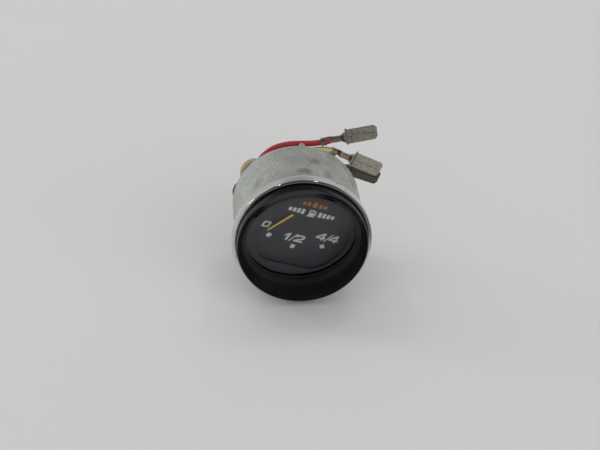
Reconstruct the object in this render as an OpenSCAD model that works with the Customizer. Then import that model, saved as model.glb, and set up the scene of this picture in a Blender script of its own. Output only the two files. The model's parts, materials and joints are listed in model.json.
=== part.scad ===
// Electric fuel gauge for a dashboard: a round case with a hooded bezel, a slanted window
// and dial, a two-coil movement, a push-in lamp and three leads with blade terminals.
// X points right and Y into the gauge. Z is up, towards the dial's twelve o'clock.
// The origin is on the case's axis, in the plane of the bezel's back face.

/* [Case] */
// Outer radius of the case
case_r = 26; // [25:0.1:27]
// Thickness of the case's sheet
case_wall = 0.8; // [0.6:0.1:1]
// Depth of the case behind the bezel
case_depth = 28; // [27.5:0.5:36]
// Outer radius of the case's back edge
case_edge_r = 2; // [1.4:0.1:2.4]
// Width of the rim that the case's back edge turns inward
back_rim = 3; // [2.6:0.1:3.4]
// Thickness of the back plate
back_t = 1; // [0.8:0.1:1.2]
// How far the three lugs stand behind the case
lug_h = 3; // [1:0.5:4]
// Width of a lug
lug_w = 2.6; // [2:0.1:4]
// Thickness of a lug
lug_t = 0.9; // [0.6:0.1:1.2]

/* [Bezel] */
// How far the bezel stands out past the case
bezel_over = 1.6; // [1.4:0.1:4]
// Length of the bezel in front of the panel
bezel_len = 4.7; // [4:0.1:5.6]
// Thickness of the bezel's sheet
bezel_t = 0.4; // [0.3:0.05:0.5]
// Radius of the bezel's rounded front corner
bezel_round = 0.7; // [0.6:0.1:1]
// Width of the bezel's front lip, from its outer edge to the hood
bezel_lip = 1.6; // [1.2:0.1:2]
// Width of the edge that the bezel rolls inward behind the case's flange
bezel_heel = 0.9; // [0.7:0.1:1.2]
// Thickness of the case's front flange
flange_t = 0.65; // [0.5:0.05:0.8]

/* [Hood] */
// How far the hood's front edge stands in front of the panel
hood_len = 8.2; // [7.6:0.1:12]
// How much narrower the hood is at its front edge than at the bezel
hood_taper = 0.1; // [0:0.1:0.4]
// Width of the hood's front edge
crest_w = 0.5; // [0.4:0.1:0.8]
// Wall of the hood's skirt, inside the case and round the glass
skirt_w = 1.8; // [1.6:0.1:2.4]
// Part of the hood's inner wall that is a smooth cone, from the front
cone_share = 0.66; // [0.5:0.02:0.8]
// Number of small steps between the cone and the window
hood_steps = 4; // [2:1:5]

/* [Window] */
// Slant of the window and dial against the case's axis, in degrees
slant = 12.5; // [8:0.5:12.5]
// Direction that the slanted window faces, in degrees anticlockwise from X
slant_dir = -58; // [-90:1:-30]
// Depth of the window's front lip behind the origin, on the case's axis
lip_y = -1.85; // [-2.1:0.05:-1.2]
// How far the window's opening is inside the edge of the glass
window_in = 1.3; // [1:0.1:2]
// Width of the sloping lip round the window
lip_w = 0.6; // [0.3:0.1:0.8]
// Thickness of the hood's lip in front of the seal
lip_t = 0.5; // [0.4:0.1:0.7]
// Thickness of the glass seal
seal_t = 0.4; // [0.3:0.1:0.5]
// Thickness of the glass
glass_t = 1.5; // [1:0.1:1.5]
// Height of the spacer ring between glass and dial
spacer_h = 2.2; // [2.2:0.1:3]
// Wall of the spacer ring
spacer_w = 0.7; // [0.5:0.1:0.8]

/* [Dial] */
// Thickness of the dial
dial_t = 0.6; // [0.5:0.1:0.8]
// Height of the pointer's pivot above the dial's centre
pivot_z = 14.3; // [14:0.1:14.6]
// Radius of the arc on which the marks lie
mark_arc_r = 22.5; // [22:0.1:23]
// Centre of that arc, to the right of and above the dial's centre
mark_centre = [0.3, 13.8];
// Angle of the end marks from straight down, in degrees
mark_angle = 31; // [26:0.2:32]
// Width and height of a mark
mark_size = [1.8, 2];
// Thickness of the printing
print_t = 0.05; // [0.04:0.01:0.08]
// Height of the mask above its opening
mask_top_h = 13.2; // [13:0.1:14.2]
// Height of the mask below its opening
mask_low_h = 4.8; // [4.4:0.1:6.2]
// Narrowest width of the mask beside its opening
mask_border = 1.14; // [0.6:0.02:1.5]
// Centre of the opening's round, to the right of and above the dial's centre
mask_hole_at = [1.3, -1.6];
// Thickness of the mask
mask_t = 0.3; // [0.2:0.05:0.3]
// Height of the mask's back face above the dial
mask_gap = 1.7; // [1.7:0.05:1.75]

/* [Pointer] */
// Distance from the pivot to the pointer's tip
pointer_len = 21.4; // [18:0.1:22.4]
// Angle between the needle and the line from its tip to the pivot, in degrees
crank = 7.4; // [0:0.1:10]
// Length of the straight needle, up to its crank under the mask
needle_len = 18; // [16:0.1:19]
// Width of the pointer at its tip
pointer_tip_w = 0.7; // [0.5:0.1:1]
// Width of the pointer at its root
pointer_root_w = 1.2; // [0.9:0.1:1.4]
// Thickness of the pointer
pointer_t = 0.2; // [0.15:0.05:0.25]
// Height of the pointer's back face above the dial
pointer_gap = 1.2; // [1.1:0.05:1.2]
// Length of the pointer's tail
tail_len = 5; // [3:0.5:5.5]
// Angle of the resting tip from straight down, clockwise, in degrees
rest_angle = 39; // [35:0.5:40]
// Sweep of the pointer from its rest to its far stop, in degrees
sweep = 72; // [68:0.5:73]
// Radius of the pointer's staff
staff_r = 0.5; // [0.4:0.05:0.6]

/* [Movement] */
// Distance from the dial's back to the frame plate
pillar_len = 11.8; // [11.6:0.1:12.4]
// Radius of a dial pillar
pillar_r = 1.5; // [1.3:0.1:1.6]
// How far the upper and the lower pillars are inside the mask's edge
pillar_in = [4.14, 3.76];
// Angles of the upper and the lower pillars above level, in degrees
pillar_angle = [41.6, -49.4];
// Thickness of the frame plate
frame_t = 1.2; // [1:0.1:1.4]
// Radius of the frame plate
frame_r = 19.5; // [19:0.1:20]
// Radius of a coil former's flanges
former_r = 5.2; // [4.6:0.1:5.3]
// Distance from the pivot to a coil former
former_start = 6; // [5.8:0.1:6.4]
// Length of a coil former
former_len = 11.6; // [10:0.1:12]
// Thickness of a former's flange
former_flange = 0.8; // [0.6:0.1:1]
// Outer radius of a winding
winding_r = 4.8; // [4:0.1:4.9]
// Radius of a coil's iron core
core_r = 2.2; // [1.8:0.1:2.4]
// Distance from the pivot to the end of a core
core_start = 4; // [3.9:0.1:4.4]
// Angle of each coil's axis from straight down, in degrees
coil_angle = 45; // [45:0.5:46]
// Size of the armature: length, width and thickness
armature = [6.4, 2.4, 3];
// Reach of the balance arm from the pivot
balance_len = 5.2; // [4.8:0.1:5.3]
// Angle of the balance arm from straight down at rest, anticlockwise, in degrees
balance_angle = 55; // [50:1:60]

/* [Back] */
// Distance between the two studs
stud_gap = 17; // [16:0.5:17]
// Height of the studs above the case's axis
stud_z = 6; // [5.5:0.5:12]
// Radius of a stud
stud_r = 2; // [1.9:0.1:2.2]
// How far the studs stand behind the case
stud_len = 9.5; // [8:0.5:11]
// Width of a nut across its flats
nut_af = 7; // [6.5:0.5:7.5]
// Height of a nut
nut_h = 3.2; // [2.4:0.1:3.4]
// Place of the lamp below the case's axis
lamp_z = -14; // [-15:0.5:-13.5]
// Radius of the lamp holder's body
lamp_r = 5.95; // [5.5:0.05:6.2]
// Place of the leads' grommet to the left of the case's axis
grommet_x = -15; // [-15.5:0.5:-14.5]
// Height of the grommet's middle
grommet_z = -8; // [-8.5:0.5:-8]
// Distance between neighbouring leads in the grommet
lead_gap = 3; // [2.8:0.1:3.2]

/* [Leads] */
// Diameter of a lead
lead_d = 2.4; // [2:0.1:2.6]
// Width of a terminal's blade
blade_w = 6.3; // [4.8:0.1:6.4]
// Thickness of a terminal's blade
blade_t = 0.8; // [0.5:0.1:0.8]
// Length of a terminal's blade
blade_len = 12.2; // [8:0.1:14]

/* [Hidden] */
$fn = 96;

// Clearances
fit_gap = 0.05;     // between a turning or sliding piece and its bore
seat_gap = 0.1;     // between a round piece and the pocket that it drops into
press_gap = 0.02;   // between a piece and the staff that carries it
cut = 1;            // how far a cutter runs past the face that it cuts
washer_gap = 0.15;  // between a washer and the stud
hole_gap = 0.3;     // round a piece that passes through a plate without touching it

// Heights along the slanted axis, from the front of the window's lip
seal_y = lip_t;
glass_y = seal_y + seal_t;
spacer_y = glass_y + glass_t;
dial_y = spacer_y + spacer_h;
dial_back_y = dial_y + dial_t;
frame_y = dial_back_y + pillar_len;
frame_back_y = frame_y + frame_t;
mask_y = dial_y - mask_gap - mask_t;
pointer_y = dial_y - pointer_gap - pointer_t;
coil_offset = 0.2;
coil_y = (dial_back_y + frame_y) / 2 + coil_offset;

// Depths along the case's axis
crest_y = -hood_len;
bezel_front_y = -bezel_len;
flange_back_y = -bezel_t - fit_gap;
flange_front_y = flange_back_y - flange_t;
back_in_y = case_depth - case_wall - back_t;
back_out_y = case_depth - case_wall;

// Radii
case_in_r = case_r - case_wall;
neck_r = case_r - 0.5;
bezel_r = case_r + bezel_over;
hood_base_r = bezel_r - bezel_lip - seat_gap;
crest_r = hood_base_r - hood_taper;
flange_r = bezel_r - bezel_t - seat_gap;
skirt_r = case_in_r - seat_gap;
pocket_r = skirt_r - skirt_w;
glass_r = pocket_r - seat_gap;
window_r = glass_r - window_in;
seal_inset = 0.3;
mask_clear = 0.2;
hood_blank_y = lip_y + dial_back_y + skirt_r * tan(slant) + cut;
spacer_r = glass_r - seat_gap;
mask_r = spacer_r - spacer_w - mask_clear;
mask_z = mask_r - mask_top_h;
mask_low_z = mask_low_h - mask_r;
mask_hole_r = mask_r - norm(mask_hole_at) - mask_border;
pillar_at = [for (i = [0, 1], s = [-1, 1]) (mask_r - pillar_in[i])
    * [s * cos(pillar_angle[i]), sin(pillar_angle[i])]];
back_plate_r = case_r - case_edge_r - seat_gap;

// Coils: the far end of the cores meets the ears of the frame plate
former_end = former_start + former_len;
ear_t = 1.2;
ear_w = 10;
ear_reach = former_r - 0.2;
former_tube_r = core_r + 0.7;

// Front bridge, behind the dial, and the stops that it carries
bridge_y = dial_back_y + 1.4;
bridge_t = 0.8;
bridge_disc_r = 5.6;
bridge_half = 9.3;
bridge_z = [pivot_z - 0.6, pivot_z + 2.4];
bridge_foot = 2.9;
screw_r = 0.6;
screw_head_r = 0.95;
bridge_screw_at = [bridge_half + screw_head_r + seat_gap, (bridge_z[0] + bridge_z[1]) / 2];
balance_y = bridge_y + bridge_t + 0.6;
balance_t = 0.9;
balance_w = 2;
pin_r = 0.5;
pin_at = 4.2;
pin_clear = 0.5;
pin_half = asin((balance_w / 2 + pin_r) / pin_at) + pin_clear;
staff_front_y = mask_y + mask_t + 0.2;
staff_back_y = frame_back_y + 0.2;
bush_r = 1.6;

// Dial screws
dial_screw_r = 0.8;
dial_screw_head = [1.6, 0.7];
dial_screw_len = 3.5;

// Movement base: a moulded block between the slanted frame plate and the flat back plate
base_half = 13;
base_z = [0, 20.2];
base_wall = 1;
base_floor = 2.5;
base_boss_r = 1.8;
base_front_y = 10;
boss_back_y = case_depth + 2;
washer_t = 0.8;
shank_r = stud_r - 0.25;
free_end_y = back_out_y + 2 * washer_t + nut_h + 0.3;
stud_head_r = 2.9;
stud_head_h = 2;

// Lamp
lamp_body_len = 8.2;
lamp_front_y = back_out_y - lamp_body_len;
lamp_flange_r = lamp_r + 1.05;
lamp_sheet = 0.5;
lamp_clear = 1;
lamp_neck_r = 3;
lamp_blade_w = blade_w - 1.5;
lamp_blade_len = 9;
bulb_cap_r = 3.5;
bulb_cap_len = 8.5;
bulb_r = 3.2;
bulb_len = 6.5;
bulb_back_y = back_out_y - 2.2;
lamp_tail_y = back_out_y + 2.3;

// Grommet
grommet_w = 7;
grommet_flange = 1.2;
grommet_flange_w = grommet_w - 0.6;
grommet_out_y = back_out_y + 2;
grommet_in_y = back_in_y - 1.5;
lead_z = [for (i = [1, 0, -1]) grommet_z + i * lead_gap];

// Terminals, measured from the lead's end of the insulation crimp
crimp_len = 2.2;
barrel_at = [3.9, 8];
ear_at = [10.2, 11];
blade_at = 11.2;
strip_t = 0.4;
neck_half = 1.1;
shoulder_half = 2.4;
ear_over = 0.7;
strand_r = 0.7;
strand_end = 0.8;
terminal_len = blade_at + blade_len;
blade_chamfer = 1.2;

// Each terminal's start and its angle above level, seen from the front
red_end = [1.7, 34.5, 25.3];
red_tilt = 31;
yellow_end = [7.1, 34.5, 23.1];
yellow_tilt = -5;
black_end = [8.9, 37.5, 16.3];
black_tilt = -1;

// End of a lead's insulation, between the two crimps of its terminal
function in_crimp(end, tilt) = end + (barrel_at[0] - fit_gap) * [cos(tilt), 0, sin(tilt)];

// Routes of the leads, from the grommet's face to the terminals
red_route = [[grommet_x, grommet_out_y, lead_z[0]], [-15.1, 31.4, -4.9], [-15.7, 33.4, -4.1],
    [-16.8, 34.9, -1.9], [-17.9, 35.7, 1.3], [-18.5, 36, 5.2], [-18.3, 36, 9.4],
    [-17.3, 36, 12.2], [-15.6, 35.9, 15.1], [-13, 35.7, 17.7], [-10, 35.5, 19.7],
    [-6.8, 35.3, 21.2], [-3.6, 35.1, 22.5], [-1, 34.8, 23.7], red_end,
    in_crimp(red_end, red_tilt)];
yellow_route = [[grommet_x, grommet_out_y, lead_z[1]], [-15.6, 31.1, -7.7], [-17, 32.4, -6.9],
    [-18.9, 33, -5.3], [-21, 33.2, -2.7], [-22.8, 33.4, 0.3], [-23.8, 33.5, 3.2],
    [-23.6, 33.5, 6.1], [-22, 33.4, 8.3], [-19.2, 33.2, 9.3], [-16.1, 33, 10.4],
    [-13.2, 32.7, 12.5], [-10.2, 32.4, 15], [-7.2, 32.2, 17.4], [-4.2, 32.2, 19.6],
    [-1.4, 32.6, 21.2], [1.1, 33.2, 22.2], [3.9, 34, 22.8], yellow_end,
    in_crimp(yellow_end, yellow_tilt)];
black_route = [[grommet_x, grommet_out_y, lead_z[2]], [-15.3, 31.3, -11.1], [-16.6, 33.1, -11.2],
    [-18.6, 34, -11], [-20.7, 34.1, -10.4], [-22.4, 33.7, -9.1], [-23.4, 33.6, -7.2],
    [-23.3, 34.3, -5.3], [-21.9, 35.7, -4.3], [-19.7, 37.1, -4], [-17, 38, -3.8],
    [-14, 38.4, -3.5], [-11, 38.6, -2.8], [-8, 38.6, -1.6], [-5.2, 38.6, 0.4],
    [-2.8, 38.5, 3.2], [-0.8, 38.4, 6.5], [1.2, 38.2, 9.9], [3.4, 38, 12.9], [6, 37.7, 15.3],
    black_end, in_crimp(black_end, black_tilt)];

// Stands its children upright along Y: a height becomes a depth
module along_y(y = 0) {
    translate([0, y, 0]) rotate([-90, 0, 0]) children();
}

// Turns its children into the slanted frame of window, dial and movement
module slanted() {
    translate([0, lip_y, 0]) rotate(a = slant, v = [-sin(slant_dir), 0, cos(slant_dir)]) children();
}

// A round piece in the slanted frame, between two heights
module disc(r, y0, y1, x = 0, z = 0) {
    translate([x, 0, z]) along_y(y0) cylinder(r = r, h = y1 - y0);
}

// A ring in the slanted frame, between two heights
module ring(r_out, r_in, y0, y1, x = 0, z = 0) {
    difference() {
        disc(r_out, y0, y1, x, z);
        disc(r_in, y0 - cut, y1 + cut, x, z);
    }
}

// A flat shape drawn as seen from the front, with x right and z up, made solid between two heights
module plate(y0, y1) {
    translate([0, y1, 0]) rotate([90, 0, 0]) linear_extrude(height = y1 - y0) children();
}

// Points of an arc about a centre, from one angle to another
function arc(c, r, a0, a1, n = 8) = [for (i = [0:n]) c + r * [cos(a0 + (a1 - a0) * i / n),
    sin(a0 + (a1 - a0) * i / n)]];

// Case: a drawn cup with a flange in front and a rounded back edge that turns inward
module case_shell() color("lightsteelblue") {
    edge_c = [case_r - case_edge_r, case_depth - case_edge_r];
    along_y() rotate_extrude() polygon(concat(
        [[case_in_r, flange_front_y], [flange_r, flange_front_y], [flange_r, flange_back_y],
            [neck_r, flange_back_y], [neck_r, 0], [case_r, 0]],
        arc(edge_c, case_edge_r, 0, 90),
        [[case_r - back_rim, case_depth], [case_r - back_rim, back_out_y]],
        arc(edge_c, case_edge_r - case_wall, 90, 0)));
    for (a = [0, 120, 240]) rotate([0, -105.4 - a, 0])
        translate([case_r - case_edge_r, case_depth - case_wall / 2, -lug_w / 2])
            cube([lug_t, lug_h + case_wall / 2, lug_w]);
}

// Oblong outline of the grommet's flange or waist
module oblong(w, h) {
    square([w, h], center = true);
    for (s = [-1, 1]) translate([0, s * h / 2]) circle(d = w);
}

// Back plate, held in front of the case's back rim
module back_plate() color("silver") difference() {
    along_y(back_in_y) cylinder(r = back_plate_r, h = back_t);
    for (s = [-1, 1]) disc(stud_r + hole_gap, back_in_y - cut, back_out_y + cut, s * stud_gap / 2, stud_z);
    disc(lamp_r + fit_gap, back_in_y - cut, back_out_y + cut, 0, lamp_z);
    translate([grommet_x, 0, grommet_z]) plate(back_in_y - cut, back_out_y + cut)
        oblong(grommet_w - 2 * grommet_flange, 2 * lead_gap);
}

// Bezel: a sheet ring rolled over the hood's flange in front and the case's flange behind
module bezel_ring() color("gainsboro") {
    corner_c = [bezel_r - bezel_round, bezel_front_y + bezel_round];
    along_y() rotate_extrude() polygon(concat([[bezel_r - bezel_lip, bezel_front_y]],
        arc(corner_c, bezel_round, -90, 0),
        arc([bezel_r - bezel_t, -bezel_t], bezel_t, 0, 90, 4),
        [[bezel_r - bezel_heel, 0], [bezel_r - bezel_heel, -bezel_t], [bezel_r - bezel_t, -bezel_t]],
        arc(corner_c, bezel_round - bezel_t, 0, -90),
        [[bezel_r - bezel_lip, bezel_front_y + bezel_t]]));
}

// One thin disc of the hood's inner wall, a share of the way from the crest to the window
module hood_disc(share, r) {
    translate([0, crest_y + (lip_y - crest_y) * share, 0])
        rotate(a = slant * share, v = [-sin(slant_dir), 0, cos(slant_dir)])
            disc(r, -0.01, 0.01, $fn = 64);
}

// Radius of the hood's inner wall, a share of the way from the crest to the window
function hood_in_r(share) = (crest_r - crest_w) * (1 - share) + (window_r + lip_w) * share;

// Hood: the black ring that shades the window and holds glass, seal, spacer and dial
module hood() color("#202022") {
    hood_flange_front = bezel_front_y + bezel_t + fit_gap;
    difference() {
        along_y() rotate_extrude() polygon([[0, crest_y], [crest_r - 0.2, crest_y],
            [crest_r, crest_y + 0.2], [hood_base_r, bezel_front_y],
            [hood_base_r, hood_flange_front], [bezel_r - bezel_round, hood_flange_front],
            [flange_r, hood_flange_front + bezel_round - bezel_t], [flange_r, flange_front_y],
            [skirt_r, flange_front_y], [skirt_r, hood_blank_y], [0, hood_blank_y]]);
        hull() {
            disc(crest_r - crest_w, crest_y - cut, crest_y, $fn = 64);
            hood_disc(cone_share, hood_in_r(cone_share));
        }
        for (i = [0:hood_steps - 1]) {
            step_share = (1 - cone_share) / hood_steps;
            from = cone_share + step_share * i;
            hull() {
                hood_disc(from, hood_in_r(from + step_share / 2));
                hood_disc(from + step_share, hood_in_r(from + step_share / 2));
            }
        }
        slanted() {
            disc(window_r, -cut, lip_t + cut);
            disc(pocket_r, lip_t, case_r);
            disc(2 * case_r, dial_back_y, 2 * case_r);
        }
    }
}

module glass_seal() color("#303030") slanted() ring(glass_r, window_r + seal_inset, seal_y, glass_y);

module glass() color([0.8, 0.85, 0.9, 0.35]) slanted() disc(glass_r, glass_y, spacer_y);

module spacer_ring() color("#28282a") slanted()
    ring(spacer_r, spacer_r - spacer_w, spacer_y, dial_y);

// Dial, with holes for the pointer's hub and the two screws under the mask
module dial_plate() color("#1a1a1b") slanted() difference() {
    disc(spacer_r, dial_y, dial_back_y);
    disc(bush_r + hole_gap, dial_y - cut, dial_back_y + cut, 0, pivot_z);
    for (i = [0, 1]) disc(dial_screw_r + seat_gap, dial_y - cut, dial_back_y + cut,
        pillar_at[i][0], pillar_at[i][1]);
}

// A straight stroke of a numeral, between two points
module stroke(a, b, w) {
    d = b - a;
    translate(a) rotate(atan2(d[1], d[0])) translate([0, -w / 2]) square([norm(d), w]);
    translate(a) circle(d = w, $fn = 16);
    translate(b) circle(d = w, $fn = 16);
}

// Numerals on a slanted grid: each is a list of strokes between points, one unit high
glyph_0 = [[[0.15, 0], [0.4, 0]], [[0.4, 0], [0.55, 0.15]], [[0.55, 0.15], [0.55, 0.85]],
    [[0.55, 0.85], [0.4, 1]], [[0.4, 1], [0.15, 1]], [[0.15, 1], [0, 0.85]],
    [[0, 0.85], [0, 0.15]], [[0, 0.15], [0.15, 0]]];
glyph_1 = [[[0.25, 0], [0.25, 1]], [[0.25, 1], [0.05, 0.85]]];
glyph_2 = [[[0, 0.85], [0.15, 1]], [[0.15, 1], [0.55, 1]], [[0.55, 1], [0.7, 0.85]],
    [[0.7, 0.85], [0.7, 0.6]], [[0.7, 0.6], [0, 0.15]], [[0, 0.15], [0, 0]], [[0, 0], [0.72, 0]]];
glyph_4 = [[[0.5, 0], [0.5, 1]], [[0.5, 1], [0, 0.3]], [[0, 0.3], [0.72, 0.3]]];
glyph_slash = [[[0, -0.05], [0.3, 1.05]]];
glyph_lean = 0.2;

// Numerals: heights, stroke widths, lower left corners and the steps between characters
zero_h = 2.8;
numeral_h = 3.4;
numeral_w = 0.7;
slash_w = 0.55;
zero_at = [-15.7, -1.7];
half_at = [-5.3, -5.9];
half_step = [2.6, 4.5];
full_at = [7.5, -2.3];
full_step = [3.5, 5.4];

// Draws one numeral at a place, with its height and stroke width
module glyph(strokes, at, h, w) {
    for (s = strokes) stroke(at + h * [s[0][0] + glyph_lean * s[0][1], s[0][1]],
        at + h * [s[1][0] + glyph_lean * s[1][1], s[1][1]], w);
}

// Printing on the dial: three marks and plain numbers for empty, half and full
module dial_print() color("gainsboro") slanted() plate(dial_y - print_t, dial_y) {
    for (a = [-mark_angle, 0, mark_angle]) translate(mark_centre) rotate(a)
        translate([-mark_size[0] / 2, -mark_arc_r - mark_size[1] / 2]) square(mark_size);
    glyph(glyph_0, zero_at, zero_h, numeral_w);
    glyph(glyph_1, half_at, numeral_h, numeral_w);
    glyph(glyph_slash, half_at + [half_step[0], 0], numeral_h, slash_w);
    glyph(glyph_2, half_at + [half_step[1], 0], numeral_h, numeral_w);
    glyph(glyph_4, full_at, numeral_h, numeral_w);
    glyph(glyph_slash, full_at + [full_step[0], 0], numeral_h, slash_w);
    glyph(glyph_4, full_at + [full_step[1], 0], numeral_h, numeral_w);
}

// Mask: a shallow pan over the pointer's pivot and the dial's rim. It stands on the wall at its
// edge, and its round opening is cut off straight above and below.
module dial_mask() color("#1c1c1d") slanted() {
    mask_wall = 0.5;
    difference() {
        disc(mask_r, mask_y, dial_y);
        disc(mask_r - mask_wall, mask_y + mask_t, dial_y + cut);
        intersection() {
            disc(mask_hole_r, mask_y - cut, dial_y, mask_hole_at[0], mask_hole_at[1]);
            translate([-2 * mask_r, mask_y - 2 * cut, mask_low_z])
                cube([4 * mask_r, dial_y, mask_z - mask_low_z]);
        }
    }
}

// Printing on the mask: a plain pump sign between two bars, and a small drop above it
module mask_print() color("gainsboro") slanted() plate(mask_y - print_t, mask_y) {
    sign_at = [-0.55, mask_z + 1.4];
    bar = [6, 0.9];
    bar_at = [6.4, 1.1];
    pump = [2.1, 3.1];
    pump_window = [1.3, 0.8];
    pump_foot = [2.9, 0.4];
    hose = [[1.05, 1.3], [1.65, 1], [1.75, 2.3], [1.25, 2.9]];
    hose_w = 0.3;
    drop_at = sign_at + [-0.35, 5.3];
    drop_r = 0.8;
    for (s = [-1, 1]) translate([s * bar_at[0] - bar[0] / 2, sign_at[1] + bar_at[1]]) square(bar);
    difference() {
        translate([sign_at[0] - pump[0] / 2, sign_at[1]]) square(pump);
        translate([sign_at[0] - pump_window[0] / 2, sign_at[1] + pump[1] - pump_window[1] - 0.5])
            square(pump_window);
    }
    translate([sign_at[0] - pump_foot[0] / 2, sign_at[1] - pump_foot[1] + 0.1]) square(pump_foot);
    for (i = [0:len(hose) - 2]) stroke(sign_at + hose[i], sign_at + hose[i + 1], hose_w);
    translate(drop_at) circle(r = drop_r);
    translate(drop_at) polygon([[-0.94 * drop_r, drop_r / 3], [0.94 * drop_r, drop_r / 3],
        [0, 2.25 * drop_r]]);
}

// Two screws that hold the dial to the upper pillars, under the mask
module dial_screws() color("silver") slanted() for (i = [0, 1]) {
    p = pillar_at[i];
    difference() {
        disc(dial_screw_head[0], dial_y - dial_screw_head[1], dial_y, p[0], p[1]);
        translate([p[0] - 2, dial_y - 1, p[1] - 0.2]) cube([4, 0.6, 0.4]);
    }
    disc(dial_screw_r, dial_y, dial_back_y + dial_screw_len, p[0], p[1]);
}

// Puts its children, drawn pointing straight down from the pivot, at an angle anticlockwise
module at_pivot(angle) {
    translate([0, 0, pivot_z]) rotate([0, -angle, 0]) children();
}

// Pointer: a thin tapered needle, cranked under the mask, with an arm and a short tail on its hub
module pointer() color("gold") slanted() at_pivot(-rest_angle) difference() {
    tip = [0, -pointer_len];
    along = [-sin(crank), cos(crank)];
    across = pointer_root_w / 2 * [cos(crank), sin(crank)];
    knee = tip + needle_len * along;
    arm_side = pointer_root_w / 2 * [-knee[1], knee[0]] / norm(knee);
    point = tip + 0.3 * along;
    point_side = across * pointer_tip_w / pointer_root_w;
    union() {
        plate(pointer_y, pointer_y + pointer_t) polygon([tip, point + point_side, knee + across,
            knee - across, point - point_side]);
        plate(pointer_y, pointer_y + pointer_t)
            polygon([knee + arm_side, knee - arm_side, -arm_side, arm_side]);
        plate(pointer_y, pointer_y + pointer_t)
            translate([-pointer_root_w / 2, 0]) square([pointer_root_w, tail_len]);
        disc(pointer_root_w / 2, pointer_y, pointer_y + pointer_t, knee[0], knee[1]);
        disc(bush_r, pointer_y, pointer_y + pointer_t);
    }
    disc(staff_r + press_gap, pointer_y - cut, pointer_y + cut);
}

module pointer_hub() color("goldenrod") slanted()
    ring(bush_r - 0.1, staff_r + press_gap, pointer_y + pointer_t, dial_y - 0.2, 0, pivot_z);

module staff() color("silver") slanted() disc(staff_r, staff_front_y, staff_back_y, 0, pivot_z);

// Armature: a soft iron bar across the staff, between the ends of the two cores
module armature_vane() color("dimgray") slanted() at_pivot(-rest_angle) difference() {
    translate([-armature[0] / 2, coil_y - armature[2] / 2, -armature[1] / 2])
        cube([armature[0], armature[2], armature[1]]);
    disc(staff_r + press_gap, coil_y - armature[2], coil_y + armature[2]);
}

// Balance arm: a small brass weight on one side of the staff, which brings the pointer to rest
module balance_arm() color("goldenrod") slanted() at_pivot(balance_angle) difference() {
    plate(balance_y, balance_y + balance_t) {
        circle(r = 1.5);
        translate([-balance_w / 2, -balance_len]) square([balance_w, balance_len]);
    }
    disc(staff_r + press_gap, balance_y - cut, balance_y + balance_t + cut);
}

// Bridge behind the dial: it carries the front bearing and stands on two bent legs
module front_bridge() color("darkkhaki") slanted() difference() {
    leg_t = bridge_t;
    union() {
        plate(bridge_y, bridge_y + bridge_t) {
            translate([0, pivot_z]) circle(r = bridge_disc_r);
            translate([-bridge_half, bridge_z[0]]) square([2 * bridge_half, bridge_z[1] - bridge_z[0]]);
        }
        for (s = [-1, 1]) {
            plate(bridge_y, frame_y) translate([s * (bridge_half - leg_t / 2), bridge_z[0]])
                translate([-leg_t / 2, 0]) square([leg_t, bridge_z[1] - bridge_z[0]]);
            plate(frame_y - bridge_t, frame_y)
                translate([s * (bridge_half - leg_t / 2 + bridge_foot / 2), bridge_z[0]])
                    translate([-bridge_foot / 2, 0])
                        square([bridge_foot, bridge_z[1] - bridge_z[0]]);
        }
    }
    disc(bush_r, bridge_y - cut, bridge_y + bridge_t + cut, 0, pivot_z);
    for (s = [-1, 1]) disc(screw_r + fit_gap, frame_y - bridge_t - cut, frame_y + cut,
        s * bridge_screw_at[0], bridge_screw_at[1]);
}

// Two pins behind the bridge that stop the balance arm at rest and past full
module stop_pins() color("silver") slanted()
    for (a = [balance_angle - pin_half, balance_angle + sweep + pin_half])
        at_pivot(a) disc(pin_r, bridge_y + bridge_t, balance_y + balance_t, 0, -pin_at);

// Bearing bushes of the staff, in the bridge and in the frame plate
module bearings() color("gold") slanted() {
    ring(bush_r, staff_r + fit_gap, bridge_y - 0.4, bridge_y + bridge_t, 0, pivot_z);
    ring(bush_r, staff_r + fit_gap, frame_y - 0.4, frame_back_y + 0.4, 0, pivot_z);
}

// Screws through the bridge's feet and the frame plate into the movement base
module bridge_screws() color("silver") slanted() for (s = [-1, 1]) {
    x = s * bridge_screw_at[0];
    difference() {
        disc(screw_head_r, frame_y - bridge_t - 0.8, frame_y - bridge_t, x, bridge_screw_at[1]);
        translate([x - 2, frame_y - bridge_t - 1.2, bridge_screw_at[1] - 0.15]) cube([4, 0.8, 0.3]);
    }
    disc(screw_r, frame_y - bridge_t, frame_back_y + 4, x, bridge_screw_at[1]);
}

module dial_pillars() color("silver") slanted() for (p = pillar_at) difference() {
    disc(pillar_r, dial_back_y, frame_y, p[0], p[1]);
    disc(dial_screw_r + fit_gap, dial_back_y - cut, dial_back_y + dial_screw_len + 0.5, p[0], p[1]);
}

// Draws its children, made along +X from the pivot, for each coil: -1 is left and 1 is right
module at_coil(side) {
    translate([0, coil_y, pivot_z]) rotate([0, 90 - side * coil_angle, 0]) children();
}

// A tube or rod along a coil's axis, between two distances from the pivot
module coil_rod(r, from, to) {
    translate([from, 0, 0]) rotate([0, 90, 0]) cylinder(r = r, h = to - from);
}

// Frame plate: soft iron, with two upright ears that hold the far ends of the cores
module frame_plate() color("slategray") difference() {
    slanted() {
        difference() {
            disc(frame_r, frame_y, frame_back_y);
            disc(bush_r, frame_y - cut, frame_back_y + cut, 0, pivot_z);
            for (s = [-1, 1]) disc(screw_r + fit_gap, frame_y - cut, frame_back_y + cut,
                s * bridge_screw_at[0], bridge_screw_at[1]);
        }
        for (side = [-1, 1]) at_coil(side) translate([former_end, -ear_reach, -ear_w / 2])
            cube([ear_t, frame_y - coil_y + ear_reach + 0.5, ear_w]);
    }
    disc(lamp_r + lamp_clear, -cut, back_out_y, 0, lamp_z);
}

module coil_cores() color("dimgray") slanted() for (side = [-1, 1]) at_coil(side)
    coil_rod(core_r, core_start, former_end);

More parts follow.
